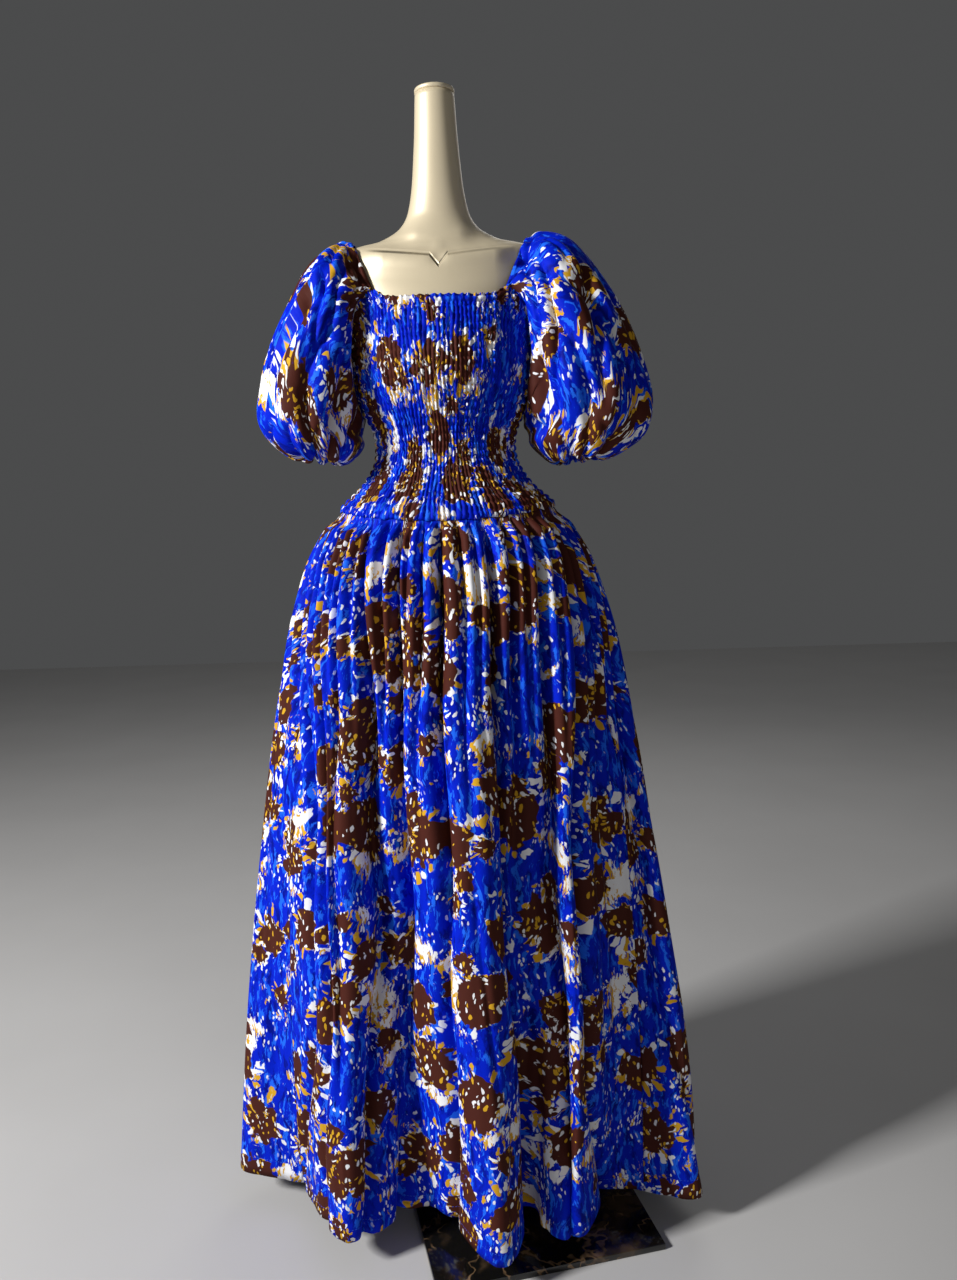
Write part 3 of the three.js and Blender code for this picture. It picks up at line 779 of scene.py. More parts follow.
def flowers(tree, place, colour, brown, ochre, white, scale, offset, size, left_out):
    """Lobed brown hearts in a ring of short petals, white ones and, on one side, ochre ones."""
    shifted = tree.vector("ADD", place, offset)
    cell = tree.cells(shifted, scale, 0.85)
    away = tree.vector("SUBTRACT", shifted, cell.outputs["Position"])
    chance = tree.chances(cell)
    chosen = tree.above(chance[2], left_out)
    lobes = tree.noise(shifted, 5.0 * scale, 2, 0.55).outputs[0]
    radius = tree.math("MULTIPLY_ADD", chance[1], 0.6 * size, 0.5 * size)
    radius = tree.math("MULTIPLY_ADD", lobes, 0.4, radius)
    reach = tree.math("SUBTRACT", radius, cell.outputs["Distance"])

    # The petals are cells on a ring round each heart, some reaching further than others.
    way = tree.parts(tree.add("VectorMath", {0: away}, operation="NORMALIZE").outputs[0])
    side = tree.math("MULTIPLY_ADD", chance[0], 2.0, -1.0)
    side = tree.times(tree.math("ADD", way[0], way[1]), side)
    level = tree.math("MULTIPLY_ADD", chance[0], 40.0, tree.times(reach, 4.5))
    round_it = tree.add("CombineXYZ", {0: way[0], 1: way[1]}).outputs[0]
    round_it = tree.vector("MULTIPLY", round_it, (3.4, 3.4, 1))
    round_it = tree.vector("ADD", round_it, tree.add("CombineXYZ", {2: level}).outputs[0])
    petal = tree.cells(round_it, 1, solid=True)
    kind = tree.chances(petal)
    zone = tree.math("MULTIPLY_ADD", kind[1], 0.25, reach)
    shape = tree.rest(tree.step(petal.outputs["Distance"], 0.43, 0.03))
    shape = tree.times(shape, tree.times(tree.step(zone, 0.03, 0.008), chosen))
    golden = tree.above(tree.math("MULTIPLY_ADD", side, 0.4, kind[0]), 0.52)
    colour = tree.mix(shape, colour, tree.mix(golden, white, ochre))

    # The brown heart lies over them, with a few blades of colour in it.
    heart = tree.times(tree.step(reach, 0.03, 0.008), chosen)
    colour = tree.mix(heart, colour, brown)
    blades = tree.rest(tree.step(petal.outputs["Distance"], 0.34, 0.03))
    blades = tree.times(blades, tree.above(kind[2], 0.58))
    deep = tree.rest(tree.step(reach, 0.55 * size, 0.01))
    blades = tree.times(blades, tree.times(heart, deep))
    return tree.mix(blades, colour, tree.mix(golden, ochre, white)), heart


def specks_on_brown(tree, place, colour, on_brown, ochre, white):
    """Cream and ochre specks on the brown, in two turns."""
    for turned, shift in ((0.8, 0.0), (-0.6, 3.0)):
        specks = tree.cells(tree.moved(place, (150, 72, 1), turned, (shift, shift, 0)), 1)
        chance = tree.chances(specks)
        size = tree.math("MULTIPLY_ADD", chance[2], 0.25, specks.outputs["Distance"])
        dots = tree.rest(tree.step(size, 0.36, 0.04))
        dots = tree.times(dots, tree.above(chance[0], 0.76))
        speck_colour = tree.mix(tree.above(chance[1], 0.6), ochre, white)
        colour = tree.mix(tree.times(dots, on_brown), colour, speck_colour)
    return colour


def flecks_on_blue(tree, place, colour, on_brown, white):
    """White flecks in groups on the blue, in two turns."""
    on_blue = tree.rest(on_brown)
    for turned, shift, size in ((0.5, 0.0, 0.23), (-0.9, 5.0, 0.2)):
        dashes = tree.cells(tree.moved(place, (150, 70, 1), turned, (shift, shift, 0)), 1)
        chance = tree.chances(dashes)
        marks = tree.rest(tree.step(dashes.outputs["Distance"], size, 0.03))
        groups = tree.step(tree.noise(place, 16 + shift, 1).outputs[0], 0.58, 0.03)
        marks = tree.times(marks, tree.above(chance[0], 0.55))
        marks = tree.times(marks, tree.times(groups, on_blue))
        colour = tree.mix(marks, colour, white)
    return colour


@made_once("floral_print")
def print_material(tree):
    """Painterly all-over flowers in brown, ochre and white on royal blue, by the flat cloth."""
    colours = bpy.context.scene.dress_colours
    ground, shade, light, brown, ochre, white = (
        tuple(getattr(colours, c)) for c in ("ground", "shade", "light", "brown", "ochre", "white")
    )
    flat = tree.add("UVMap", uv_map="flat_cloth").outputs[0]
    wander = tree.sway(flat, 14, 3, (0.035, 0.035, 0))
    jitter = tree.sway(flat, 90, 2, (0.006, 0.006, 0))
    place = tree.vector("ADD", flat, tree.vector("ADD", wander, jitter))
    colour, strokes = brushed_ground(tree, place, shade, ground, light)
    colour = broken_patches(tree, place, colour, strokes, ochre, white)
    inks = (brown, ochre, white)
    colour, hearts = flowers(
        tree, place, colour, *inks, scale=8.6, offset=(0.31, 0.17, 0), size=0.17, left_out=0.16
    )
    colour, buds = flowers(
        tree, place, colour, *inks, scale=17.0, offset=(1.7, 2.3, 0), size=0.14, left_out=0.66
    )
    on_brown = tree.math("MAXIMUM", hearts, buds)
    colour = specks_on_brown(tree, place, colour, on_brown, ochre, white)
    colour = flecks_on_blue(tree, place, colour, on_brown, white)

    # A fine weave, and cloth that is not quite even.
    weave = tree.noise(tree.moved(flat, (2600, 2600, 1)), 1, 1).outputs[0]
    soft = tree.noise(flat, 55, 3, 0.55).outputs[0]
    normal = tree.bump(weave, 0.25, 0.0002)
    normal = tree.bump(soft, 0.35, 0.0015, normal)
    return tree.finish(
        Base_Color=colour,
        Roughness=tree.math("MULTIPLY_ADD", soft, 0.16, 0.5),
        Normal=normal,
        Specular_IOR_Level=0.04,
    )


def collarbone_line(tree, place):
    """The height of each collarbone's crisp edge, which dips to a notch between them."""
    parts = tree.parts(place)
    aside = tree.math("ABSOLUTE", parts[0])
    past = tree.math("SUBTRACT", aside, NOTCH["half_width"])
    edge = tree.math("MULTIPLY_ADD", tree.math("MAXIMUM", past, 0.0), NOTCH["rise"], NOTCH["top"])
    beneath = tree.math("SUBTRACT", edge, parts[2])
    dip = NOTCH["height"] / NOTCH["half_width"]
    below = tree.math("MULTIPLY_ADD", tree.math("MINIMUM", past, 0.0), dip, beneath)
    ledge = tree.math("SUBTRACT", tree.step(below, 0.0006, 0.0026), tree.step(beneath, 0.022, 0.020))
    groove = tree.step(tree.math("ABSOLUTE", tree.math("ADD", below, 0.0016)), 0.0022, 0.0022)
    relief = tree.math("MULTIPLY_ADD", groove, 0.35, ledge)
    shown = tree.rest(tree.step(aside, 0.092, 0.016))
    shown = tree.times(shown, tree.math("LESS_THAN", parts[1], -0.01))
    return tree.times(relief, shown)


@made_once("champagne_lacquer")
def form_material(tree):
    """Champagne-gold satin lacquer with a faint sparkle."""
    place = tree.add("TexCoord").outputs["Object"]
    flakes = tree.noise(place, 1400, 1).outputs[0]
    cloudy = tree.noise(place, 9, 3).outputs[0]
    skin = tuple(bpy.context.scene.form_sizes.skin)
    deep = tuple(0.82 * c for c in skin[:3]) + (1,)

    relief = collarbone_line(tree, place)
    return tree.finish(
        Base_Color=tree.mix(tree.times(tree.math("ADD", flakes, cloudy), 0.5), deep, skin),
        Metallic=0.25,
        Roughness=tree.math("MULTIPLY_ADD", cloudy, 0.10, 0.36),
        Normal=tree.bump(flakes, 0.12, 0.0002, tree.bump(relief, 1.0, 0.0042)),
        Coat_Weight=0.12,
        Coat_Roughness=0.25,
    )


@made_once("brushed_steel")
def steel_material(tree):
    """Brushed steel, with its lines round the pole."""
    place = tree.add("TexCoord").outputs["Object"]
    lines = tree.noise(tree.moved(place, (60, 60, 2600)), 1, 2).outputs[0]
    return tree.finish(
        Base_Color=tuple(bpy.context.scene.stand_sizes.steel),
        Metallic=1.0,
        Roughness=tree.math("MULTIPLY_ADD", lines, 0.2, 0.22),
        Normal=tree.bump(lines, 0.15, 0.0002),
    )


@made_once("black_marble")
def stone_material(tree):
    """Polished black marble with broken brown veins."""
    sizes = bpy.context.scene.stand_sizes
    place = tree.add("TexCoord").outputs["Object"]
    bent = tree.vector("ADD", place, tree.sway(place, 9, 4, (0.12, 0.12, 0.12)))
    ridge = tree.math("ABSOLUTE", tree.math("SUBTRACT", tree.noise(bent, 11, 3, 0.6).outputs[0], 0.5))
    veins = tree.rest(tree.step(ridge, 0.012, 0.010))
    broken = tree.step(tree.noise(place, 17, 2).outputs[0], 0.47, 0.08)
    veins = tree.times(veins, broken)
    smoky = tree.step(tree.noise(bent, 6, 4, 0.65).outputs[0], 0.63, 0.07)
    base = tree.mix(tree.times(smoky, 0.35), tuple(sizes.stone), tuple(sizes.vein))
    return tree.finish(
        Base_Color=tree.mix(veins, base, tuple(sizes.vein)),
        Roughness=tree.math("MULTIPLY_ADD", smoky, 0.12, 0.10),
        Coat_Weight=0.3,
        Coat_Roughness=0.05,
    )


@made_once("blue_thread")
def thread_material(tree):
    """Royal blue sewing thread."""
    place = tree.add("TexCoord").outputs["Object"]
    twist = tree.noise(place, 900, 1).outputs[0]
    colours = bpy.context.scene.dress_colours
    return tree.finish(
        Base_Color=tree.mix(twist, tuple(colours.shade), tuple(colours.light)), Roughness=0.5
    )


@made_once("pale_floor")
def floor_material(tree):
    """A pale matt floor."""
    place = tree.add("TexCoord").outputs["Object"]
    cloudy = tree.noise(place, 2.5, 3).outputs[0]
    colour = tree.mix(cloudy, (0.50, 0.49, 0.48, 1), (0.56, 0.55, 0.54, 1))
    return tree.finish(Base_Color=colour, Roughness=0.55)


def elastic_ribs(angle, from_centre, up):
    """Shirring: how far its ribs stand off the form, and which rib each point is on."""
    sizes = bpy.context.scene.dress_sizes
    pinch_width, hollow_off = 0.0021, 0.0034

    # The ribs wander a little and differ in height, and sink into the waist seam.
    wander = 0.22 * uneven(3, 5, 9)(angle) * np.sin(up * 38) + 0.12 * np.sin(up * 95 + angle * 0.3)
    phase = (from_centre + 90) / 180 * sizes.ribs + wander
    rib = np.abs(np.sin(np.pi * phase)) ** 0.7
    strength = 1 + 0.25 * uneven(8, 31, 47)(angle) + 0.15 * np.sin(up * 70 + angle * 0.9)
    at_seam = blend(0.35, 1, up / (0.009 + 0.004 * uneven(13, 17, 38)(angle)))

    # Each row of elastic pinches them.
    from_row = np.abs((up / sizes.elastic_pitch + 0.5) % 1 - 0.5) * sizes.elastic_pitch
    pinch = 1 - 0.75 * np.exp(-((from_row / pinch_width) ** 2))
    return hollow_off + sizes.rib_depth * rib * pinch * strength * at_seam, phase


def neck_casing(from_centre, down, off):
    """The neck edge: a soft tube over its elastic, with a narrow frill above and stitches below."""
    casing = bpy.context.scene.dress_sizes.casing
    frill_height, tube_depth, stitch_depth, stitch_width = 0.003, 0.0028, 0.0030, 0.0018
    at_neck = blend(1, 0, (np.abs(from_centre) - CORNER_ANGLE + 1) / 3)
    in_casing = blend(0, 1, (casing - down) / 0.002)
    crimps = np.sin(np.radians(from_centre) * 92 + 0.8 * np.sin(from_centre * 0.9))
    in_tube = np.clip((down - frill_height) / (casing - frill_height), 0, 1)
    frill = (0.0012 + 0.0012 * crimps) * blend(1, 0, down / frill_height)
    casing_off = 0.0042 + tube_depth * np.sin(np.pi * in_tube) + 0.0006 * crimps + frill
    off = off + (casing_off - off) * in_casing * at_neck
    return off - stitch_depth * at_neck * np.exp(-(((down - casing) / stitch_width) ** 2))


def ribbed_print(phase):
    """The place across the print: a rib shows a narrow strip, and its hollows hide the rest."""
    sizes = bpy.context.scene.dress_sizes
    number = np.floor(phase)
    half = phase - number - 0.5
    squeezed = 0.55 * half + 0.45 * 0.5 * np.sign(half) * np.abs(2 * half) ** 4
    return sizes.bodice_width * (number + 0.5 + squeezed) / sizes.ribs


def bodice_panel(name, edge, facing):
    """A shirred panel from side seam to side seam, with ribs pinched by rows of elastic."""
    sizes = bpy.context.scene.dress_sizes
    columns_per_rib = 6
    from_centre = np.linspace(-90, 90, sizes.ribs * columns_per_rib + 1)[None, :]
    plain_rows, neck_rows, neck_from = 82, 15, 0.94
    share = np.concatenate(
        [np.linspace(0, neck_from, plain_rows, endpoint=False), np.linspace(neck_from, 1, neck_rows)]
    )[:, None]
    angle = facing + from_centre
    bottom = waist_seam(angle)
    top = smooth(edge, "angle", "height")(np.abs(from_centre))
    height = bottom + (top - bottom) * share
    skin = form_point(angle, height)
    down = arc_along(skin[::-1])[::-1]
    up = arc_along(skin)
    off, phase = elastic_ribs(angle, from_centre, up)
    outer = on_form(angle, height, neck_casing(from_centre, down, off))

    # The two panels leave a narrow gap at the side seams.
    in_front = facing == 0
    outer[:, [0, -1], 1] += (-1 if in_front else 1) * SEAM / 2

    # The print starts at another place on each panel, and is a little squeezed from top to bottom.
    print_start = 4.1 if in_front else 5.3
    print_bottom, print_squeeze = 1.6, 1.1
    uv = np.stack([ribbed_print(phase) + print_start, up * print_squeeze + print_bottom], -1)
    piece = shell(name, outer, uv)
    finish_piece(piece, print_material(), "print_cloth", name.replace("_cloth", ""))


def sleeve_seam(count_neck, count_arm):
    """The line where a sleeve starts: arrays of the turn, the angle and the height."""
    turn = np.linspace(-46, 46, count_neck)
    angle, height = (smooth(NECK_EDGE, "turn", c)(turn) for c in ("angle", "height"))
    share = np.linspace(0, 1, count_arm)
    from_centre = CORNER_ANGLE + (90 - CORNER_ANGLE) * share
    arm_turn = CORNER_TURN + (180 - CORNER_TURN) * share**0.85
    front = smooth(FRONT_EDGE, "angle", "height")(from_centre)
    back = smooth(BACK_EDGE, "angle", "height")(from_centre)
    turn = np.concatenate([turn, arm_turn, 360 - arm_turn[-2::-1]])
    angle = np.concatenate([angle, from_centre, 180 - from_centre[-2::-1]])
    height = np.concatenate([height, front, back[-2::-1]])
    return turn, angle, height


def between_rows(grid, count):
    """More rows on smooth curves through the rows of a grid; gives them and their row numbers."""
    last = len(grid) - 1
    slope = np.empty_like(grid)
    slope[1:-1] = (grid[2:] - grid[:-2]) / 2
    slope[0], slope[-1] = grid[1] - grid[0], grid[-1] - grid[-2]
    number = np.linspace(0, last, count)
    i = np.clip(number.astype(int), 0, last - 1)
    t = (number - i)[:, None, None]
    return curve(t, grid[i], slope[i], grid[i + 1], slope[i + 1]), number


def near_top(turn):
    """How far round a sleeve is from its top, in degrees, and 1 along its neck edge."""
    from_top = np.abs((turn + 180) % 360 - 180)
    return from_top, blend(0, 1, (CORNER_TURN + 10 - from_top) / 20)


def plain_sleeve(side, turn, angle, height, row_count):
    """A sleeve before its folds: its rows of points, and each row's number between the rings."""
    # It leaves the form at a slope of its own, out of the line of its seam.
    point = form_point(angle, height)
    out = form_normal(angle, height)
    spread = 3
    along = unit(point - np.roll(point, spread, axis=0)) + unit(np.roll(point, -spread, axis=0) - point)
    off = unit(np.cross(out, along))
    at_neck = near_top(turn)[1]
    slope, length = (
        arm + (neck - arm) * at_neck
        for arm, neck in zip(SLEEVE_START["armhole"], SLEEVE_START["neck"])
    )
    c, s = np.cos(np.radians(slope))[:, None], np.sin(np.radians(slope))[:, None]
    edge = point + out * (CLEAR + WALL * c) + off * SLEEVE_SEAM
    grid = [edge, edge + (off * c + out * s) * length[:, None]]

    # Then it runs through its rings.
    tc, ts = np.cos(np.radians(turn)), np.sin(np.radians(turn))
    columns = [SLEEVE_RINGS[side][name] for name in SLEEVE_COLUMNS.split()[:5]]
    for inner_x, inner_z, outer_x, outer_z, depth in zip(*columns):
        x = (inner_x + outer_x + tc * (outer_x - inner_x)) / 2
        z = (inner_z + outer_z + tc * (outer_z - inner_z)) / 2
        grid.append(np.stack([x, -ts * depth, z], -1))
    rows, number = between_rows(np.array(grid), row_count)
    return rows, number[:, None]


def sleeve_push(side, turn, around, number):
    """How far a sleeve's folds stand out, by the share round it and the number of the row."""
    # Puffs follow the solid's, with round ridges and narrow hollows.
    from_top, at_neck = near_top(turn)
    phase = around * SLEEVE_PUFFS + 0.18 * np.sin(number * 0.9 + turn * 0.05)
    puff = np.interp(number, np.arange(2, 11), SLEEVE_RINGS[side]["puff"], left=0.001)
    under = blend(0.25, 1, (180 - from_top) / 50)
    t = (phase + 0.5) % 1
    push = puff * under * (0.9 - 2.1 * trough(np.minimum(t, 1 - t), 0.17))

    # Fine gathers run in from the neck edge and from the cuff.
    neck_depth, cuff_depth, cuff_gathers = 0.0075, 0.0035, 40
    neck_fine = np.abs(np.sin(np.pi * phase * 2.5)) ** 0.8
    near_neck = blend(1, 0, (number - 0.2) / 3.4) * blend(0, 1, number / 0.4) * at_neck
    push = push + neck_depth * (neck_fine - 0.6) * near_neck
    cuff_fine = np.abs(np.sin(np.pi * around * cuff_gathers)) ** 0.8
    push = push + cuff_depth * (cuff_fine - 0.6) * blend(0, 1, (number - 7.2) / 2.2) * under
    for deep, width, line in SLEEVE_FOLDS[side]:
        rows, turns = zip(*line)
        gap = (turn - np.interp(number, rows, turns) + 180) % 360 - 180
        middle, reach = (rows[-1] + rows[0]) / 2, (rows[-1] - rows[0]) / 2 + 0.5
        push = push - deep * (trough(gap, width) - 0.12) * window(number - middle, reach)
    return push


def sleeve(name, side):
    """A puff sleeve, gathered into its neck edge and its elastic cuff."""
    sizes = bpy.context.scene.dress_sizes
    neck_count, arm_count, row_count = 81, 96, 100
    turn, angle, height = sleeve_seam(neck_count, arm_count)
    outer, number = plain_sleeve(side, turn, angle, height, row_count)

    # The cloth is marked off in steps round the sleeve: 8 along its neck edge, and the others from
    # its front corner past the underarm to its back corner.
    steps, corner_step, underarm_step = 44, 8, 24
    neck_place = np.linspace(0, corner_step, neck_count)
    front_place = np.linspace(corner_step + 1, underarm_step, arm_count)
    back_place = np.linspace(underarm_step, steps - 1, arm_count)[1:]
    around = np.concatenate([neck_place, front_place, back_place]) / steps
    outer = outer + grid_normals(outer, True) * sleeve_push(side, turn, around, number)[..., None]

    # The left sleeve is mirrored, and its print starts at another place.
    print_start, print_top = 9.4, 2.9
    across = np.append(around, 1) * sizes.sleeve_width
    if side == "left":
        outer, across = (outer * np.array([-1, 1, 1]))[:, ::-1], across[::-1]
        print_start = 7.7
    length_along = arc_along(outer)
    length_along = np.concatenate([length_along, length_along[:, :1]], axis=1)
    across = np.broadcast_to(across, length_along.shape)
    uv = np.stack([across + print_start, print_top - length_along], -1)[::-1]
    piece = shell(name, outer[::-1], uv, around=True)
    finish_piece(piece, print_material(), "print_cloth", name.replace("_cloth", ""))


def hem_line(angle):
    """The hem seen from above, under an angle of the waist seam: a smooth line through the folds."""
    at, points = SKIRT_FOLDS["at"], np.stack([SKIRT_FOLDS["x"], SKIRT_FOLDS["y"]], -1)
    count = len(at)
    turned = (angle - at[0]) % 360 + at[0]
    i = np.searchsorted(at, turned, side="right") - 1
    following = np.append(at[1:], at[0] + 360)
    t = ((turned - at[i]) / (following[i] - at[i]))[..., None]
    before, start, end, after = (points[(i + k) % count] for k in (-1, 0, 1, 2))
    d0, d1, d2 = (
        np.sqrt(np.linalg.norm(b - a, axis=-1, keepdims=True))
        for a, b in ((before, start), (start, end), (end, after))
    )
    leave = ((start - before) / d0 - (end - before) / (d0 + d1) + (end - start) / d1) * d1
    arrive = ((end - start) / d1 - (after - start) / (d1 + d2) + (after - end) / d2) * d1
    return curve(t, start, leave, end, arrive)


def skirt_surface(angle, down):
    """The skirt's large shape, at angles round the seam and shares of the way down."""
    hem = bpy.context.scene.dress_sizes.hem_height
    seam = waist_seam(angle) - SEAM
    height = seam + (hem - seam) * down
    start = on_form(angle, seam + 0 * down, np.full(height.shape, CLEAR + WALL / 2))
    plain = skirt_point(angle, height)
    share = blend(0, 1, down / GATHER_DEPTHS["down"][1])[..., None]
    points = start + (plain - start) * share
    points[..., 2] = height
    shift = hem_line(angle) - skirt_point(angle, np.full(angle.shape, hem))[..., :2]
    points[..., :2] += shift * (down**FOLD_GROWTH)[..., None]
    return points


def skirt_push(angle, down, width_here):
    """How far the skirt's folds stand out, and how much of the cloth each place hides."""
    # Gathers: round ridges between narrow hollows, each hollow with its own depth and reach.
    depth = smooth(GATHER_DEPTHS, "down", "depth")(down)
    broad = 0.0036 + 0.0050 * blend(0, 1, down / 0.5)
    push = depth * (0.42 + 0.33 * blend(1, 0, (down - 0.02) / 0.14))
    hidden = np.full(depth.shape, 1e-3)
    for at, lean, bow, strength, reach in zip(*HOLLOWS.values()):
        sway = 0.9 * np.sin(down * 17 + at * 0.06) * blend(0, 1, down / 0.15)
        line = at + lean * down + bow * np.sin(np.pi * down) + sway
        gap = (angle - line + 180) % 360 - 180
        stay = 0.08 + 0.92 * np.exp(-((down / reach) ** 2))
        shape = trough(gap * width_here, broad)
        push = push - np.minimum(1.15 * depth * strength * stay, DEEPEST_HOLLOW) * shape
        hidden = hidden + (strength * stay * shape) ** 2
    for at, middle, length, deep, width, lean in zip(*SKIRT_CREASES.values()):
        line = at + lean * (down - middle) / length
        gap = (angle - line + 180) % 360 - 180
        push = push - deep * trough(gap, width) * window(down - middle, length)
    return push, hidden


def skirt_edges(push, from_side, angle, down, above_hem):
    """Side seams that pull in a little, a turned hem over its stitching, and the waist's rise."""
    hem_turn = bpy.context.scene.dress_sizes.hem_turn
    push = push - 0.0012 * trough(from_side, 0.35) * blend(0, 1, down / 0.05)
    push = push + 0.0005 * blend(1, 0, (above_hem - hem_turn) / 0.002)
    push = push - 0.0009 * np.exp(-(((above_hem - hem_turn) / 0.0014) ** 2))
    rise = 0.0075 + 0.003 * uneven(21, 19, 34, 47)(angle)
    return (push + 0.003 * trough(down - 0.014, 0.012)) * blend(0, 1, down / rise)


def gathered_print(width_here, hidden):
    """The place across the print: a ridge shows it unsqueezed, and the rest is in the hollows."""
    shown = 1.1 * width_here
    extra = shown[:1].sum(axis=1, keepdims=True) - shown.sum(axis=1, keepdims=True)
    extra = np.maximum(extra, 0) / hidden.sum(axis=1, keepdims=True)
    return np.cumsum(shown + extra * hidden, axis=1)


def skirt_panel(name, start, end, columns, rows):
    """A gathered panel between two angles of the waist seam."""
    sizes = bpy.context.scene.dress_sizes
    closer_above = 1.35  # how the rows draw together towards the waist
    angle = np.linspace(start, end, columns + 1)[None, :]
    down = (np.linspace(1, 0, rows + 1) ** closer_above)[:, None]
    angle, down = np.broadcast_arrays(angle, down)
    surface = skirt_surface(angle, down)
    above_hem = arc_along(surface)
    width_here = np.linalg.norm(np.gradient(surface, axis=1), axis=-1) / np.gradient(angle, axis=1)
    push, hidden = skirt_push(angle, down, width_here)
    push = skirt_edges(push, np.minimum(angle - start, end - angle), angle, down, above_hem)

    # It stays out of the form's skin, and is pushed out level near the waist.
    least_off = 0.0014
    room = np.linalg.norm((surface - form_point(angle, surface[..., 2]))[..., :2], axis=-1)
    push = np.maximum(push, least_off - room)
    outward = np.stack([np.sin(np.radians(angle)), -np.cos(np.radians(angle)), 0 * angle], -1)
    normal = grid_normals(surface, False)
    lean_share = blend(0, 1, (down - 0.1) / 0.3)[..., None]
    outer = surface + unit(outward + (normal - outward) * lean_share) * push[..., None]
    outer[..., 2] = np.maximum(outer[..., 2], sizes.hem_height)

    # The top row is tucked under the bodice, as a seam allowance is.
    tuck_height, tuck_off = 0.0025, 0.0012
    tucked = waist_seam(angle[-1]) + tuck_height
    outer[-1] = on_form(angle[-1], tucked, np.full(tucked.shape, tuck_off))

    across = gathered_print(width_here * (end - start) / columns, hidden)
    piece = shell(name, outer, np.stack([across, above_hem], -1))
    finish_piece(piece, print_material(), "print_cloth", name.replace("_cloth", ""))
    hem_length = float(np.linalg.norm(np.diff(outer[0], axis=0), axis=-1).sum())
    return outer, above_hem


def stitch_row(name, line, out, length=0.0035, gap=0.0015, radius=0.00035):
    """A row of short stitches along a line of points, just out of the cloth."""
    steps = np.linalg.norm(np.diff(line, axis=0), axis=-1)
    run = np.concatenate([[0], np.cumsum(steps)])
    starts = np.arange(gap, run[-1] - length, length + gap)

    def at(distance):
        return np.stack([np.interp(distance, run, line[:, k]) for k in range(3)], -1)

    outward = unit(np.stack([np.interp(starts, run, out[:, k]) for k in range(3)], -1))
    first, last = at(starts) + outward * radius * 0.4, at(starts + length) + outward * radius * 0.4
    way = unit(last - first)
    side = unit(np.cross(outward, way))
    ends = [first, first + (last - first) * 0.2, last - (last - first) * 0.2, last]
    widths = [0.25, 1, 1, 0.25]
    rings = []
    for middle, width in zip(ends, widths):
        for a in range(4):
            c, s = math.cos(a * math.pi / 2), math.sin(a * math.pi / 2)
            rings.append(middle + (side * c + outward * s) * radius * width)
    points = np.stack(rings, 1).reshape(-1, 3)
    faces = []
    for ring in range(3):
        for a in range(4):
            b = (a + 1) % 4
            low, high = ring * 4, ring * 4 + 4
            faces.append((low + a, low + b, high + b, high + a))
    faces += [(3, 2, 1, 0), (12, 13, 14, 15)]
    faces = np.array(faces)[None] + 16 * np.arange(len(starts))[:, None, None]
    mesh = bpy.data.meshes.new(name)
    mesh.from_pydata(points, [], faces.reshape(-1, 4))
    mesh.shade_smooth()
    return in_scene(bpy.data.objects.new(name, mesh))


def edit(piece):
    """Makes one piece the only one chosen, and opens it for modelling."""
    bpy.ops.object.select_all(action="DESELECT")
    piece.select_set(True)
    bpy.context.view_layer.objects.active = piece
    bpy.ops.object.mode_set(mode="EDIT")


def choose(piece, wanted):
    """Selects the vertices of the piece in edit mode that are wanted."""
    shape = bmesh.from_edit_mesh(piece.data)
    for vert in shape.verts:
        vert.select = wanted(vert.co)
    shape.select_flush_mode()
    bmesh.update_edit_mesh(piece.data)


def pull(piece, span, level, rise, move, reach):
    """Moves the front skin along a line to both sides of the middle, and softly what is around it."""

    def wanted(co):
        off = abs(co.x)
        return span[0] <= off <= span[1] and abs(co.z - level - rise * off) < 0.0014 and co.y < 0

    choose(piece, wanted)
    bpy.ops.transform.translate(
        value=move, use_proportional_edit=True, proportional_edit_falloff="SMOOTH",
        proportional_size=reach, use_proportional_connected=True,
    )


def close_edit(piece):
    """Ends the modelling and puts the piece's place into its mesh."""
    bpy.ops.object.mode_set(mode="OBJECT")
    bpy.ops.object.transform_apply(location=True, rotation=True, scale=True)
    piece.data.shade_smooth()


def turned_piece(name, outline, place=(0.0, 0.0), vertices=96):
    """A turned piece: a disc extruded and scaled along its outline of (radius, height)."""
    bpy.ops.object.select_all(action="DESELECT")
    radius, height = outline[0]
    bpy.ops.mesh.primitive_circle_add(
        vertices=vertices, radius=radius, fill_type="NGON", location=(place[0], place[1], height)
    )
    piece = bpy.context.object
    piece.name = name
    edit(piece)
    bpy.ops.mesh.select_all(action="SELECT")
    for new_radius, new_height in outline[1:]:
        bpy.ops.mesh.extrude_region_move(
            TRANSFORM_OT_translate={"value": (0, 0, new_height - height)}
        )
        scale = new_radius / radius
        bpy.ops.transform.resize(
            value=(scale, scale, 1), center_override=(place[0], place[1], new_height)
        )
        radius, height = new_radius, new_height
    bpy.ops.mesh.select_all(action="SELECT")
    bpy.ops.mesh.normals_make_consistent(inside=False)
    close_edit(piece)
    return piece


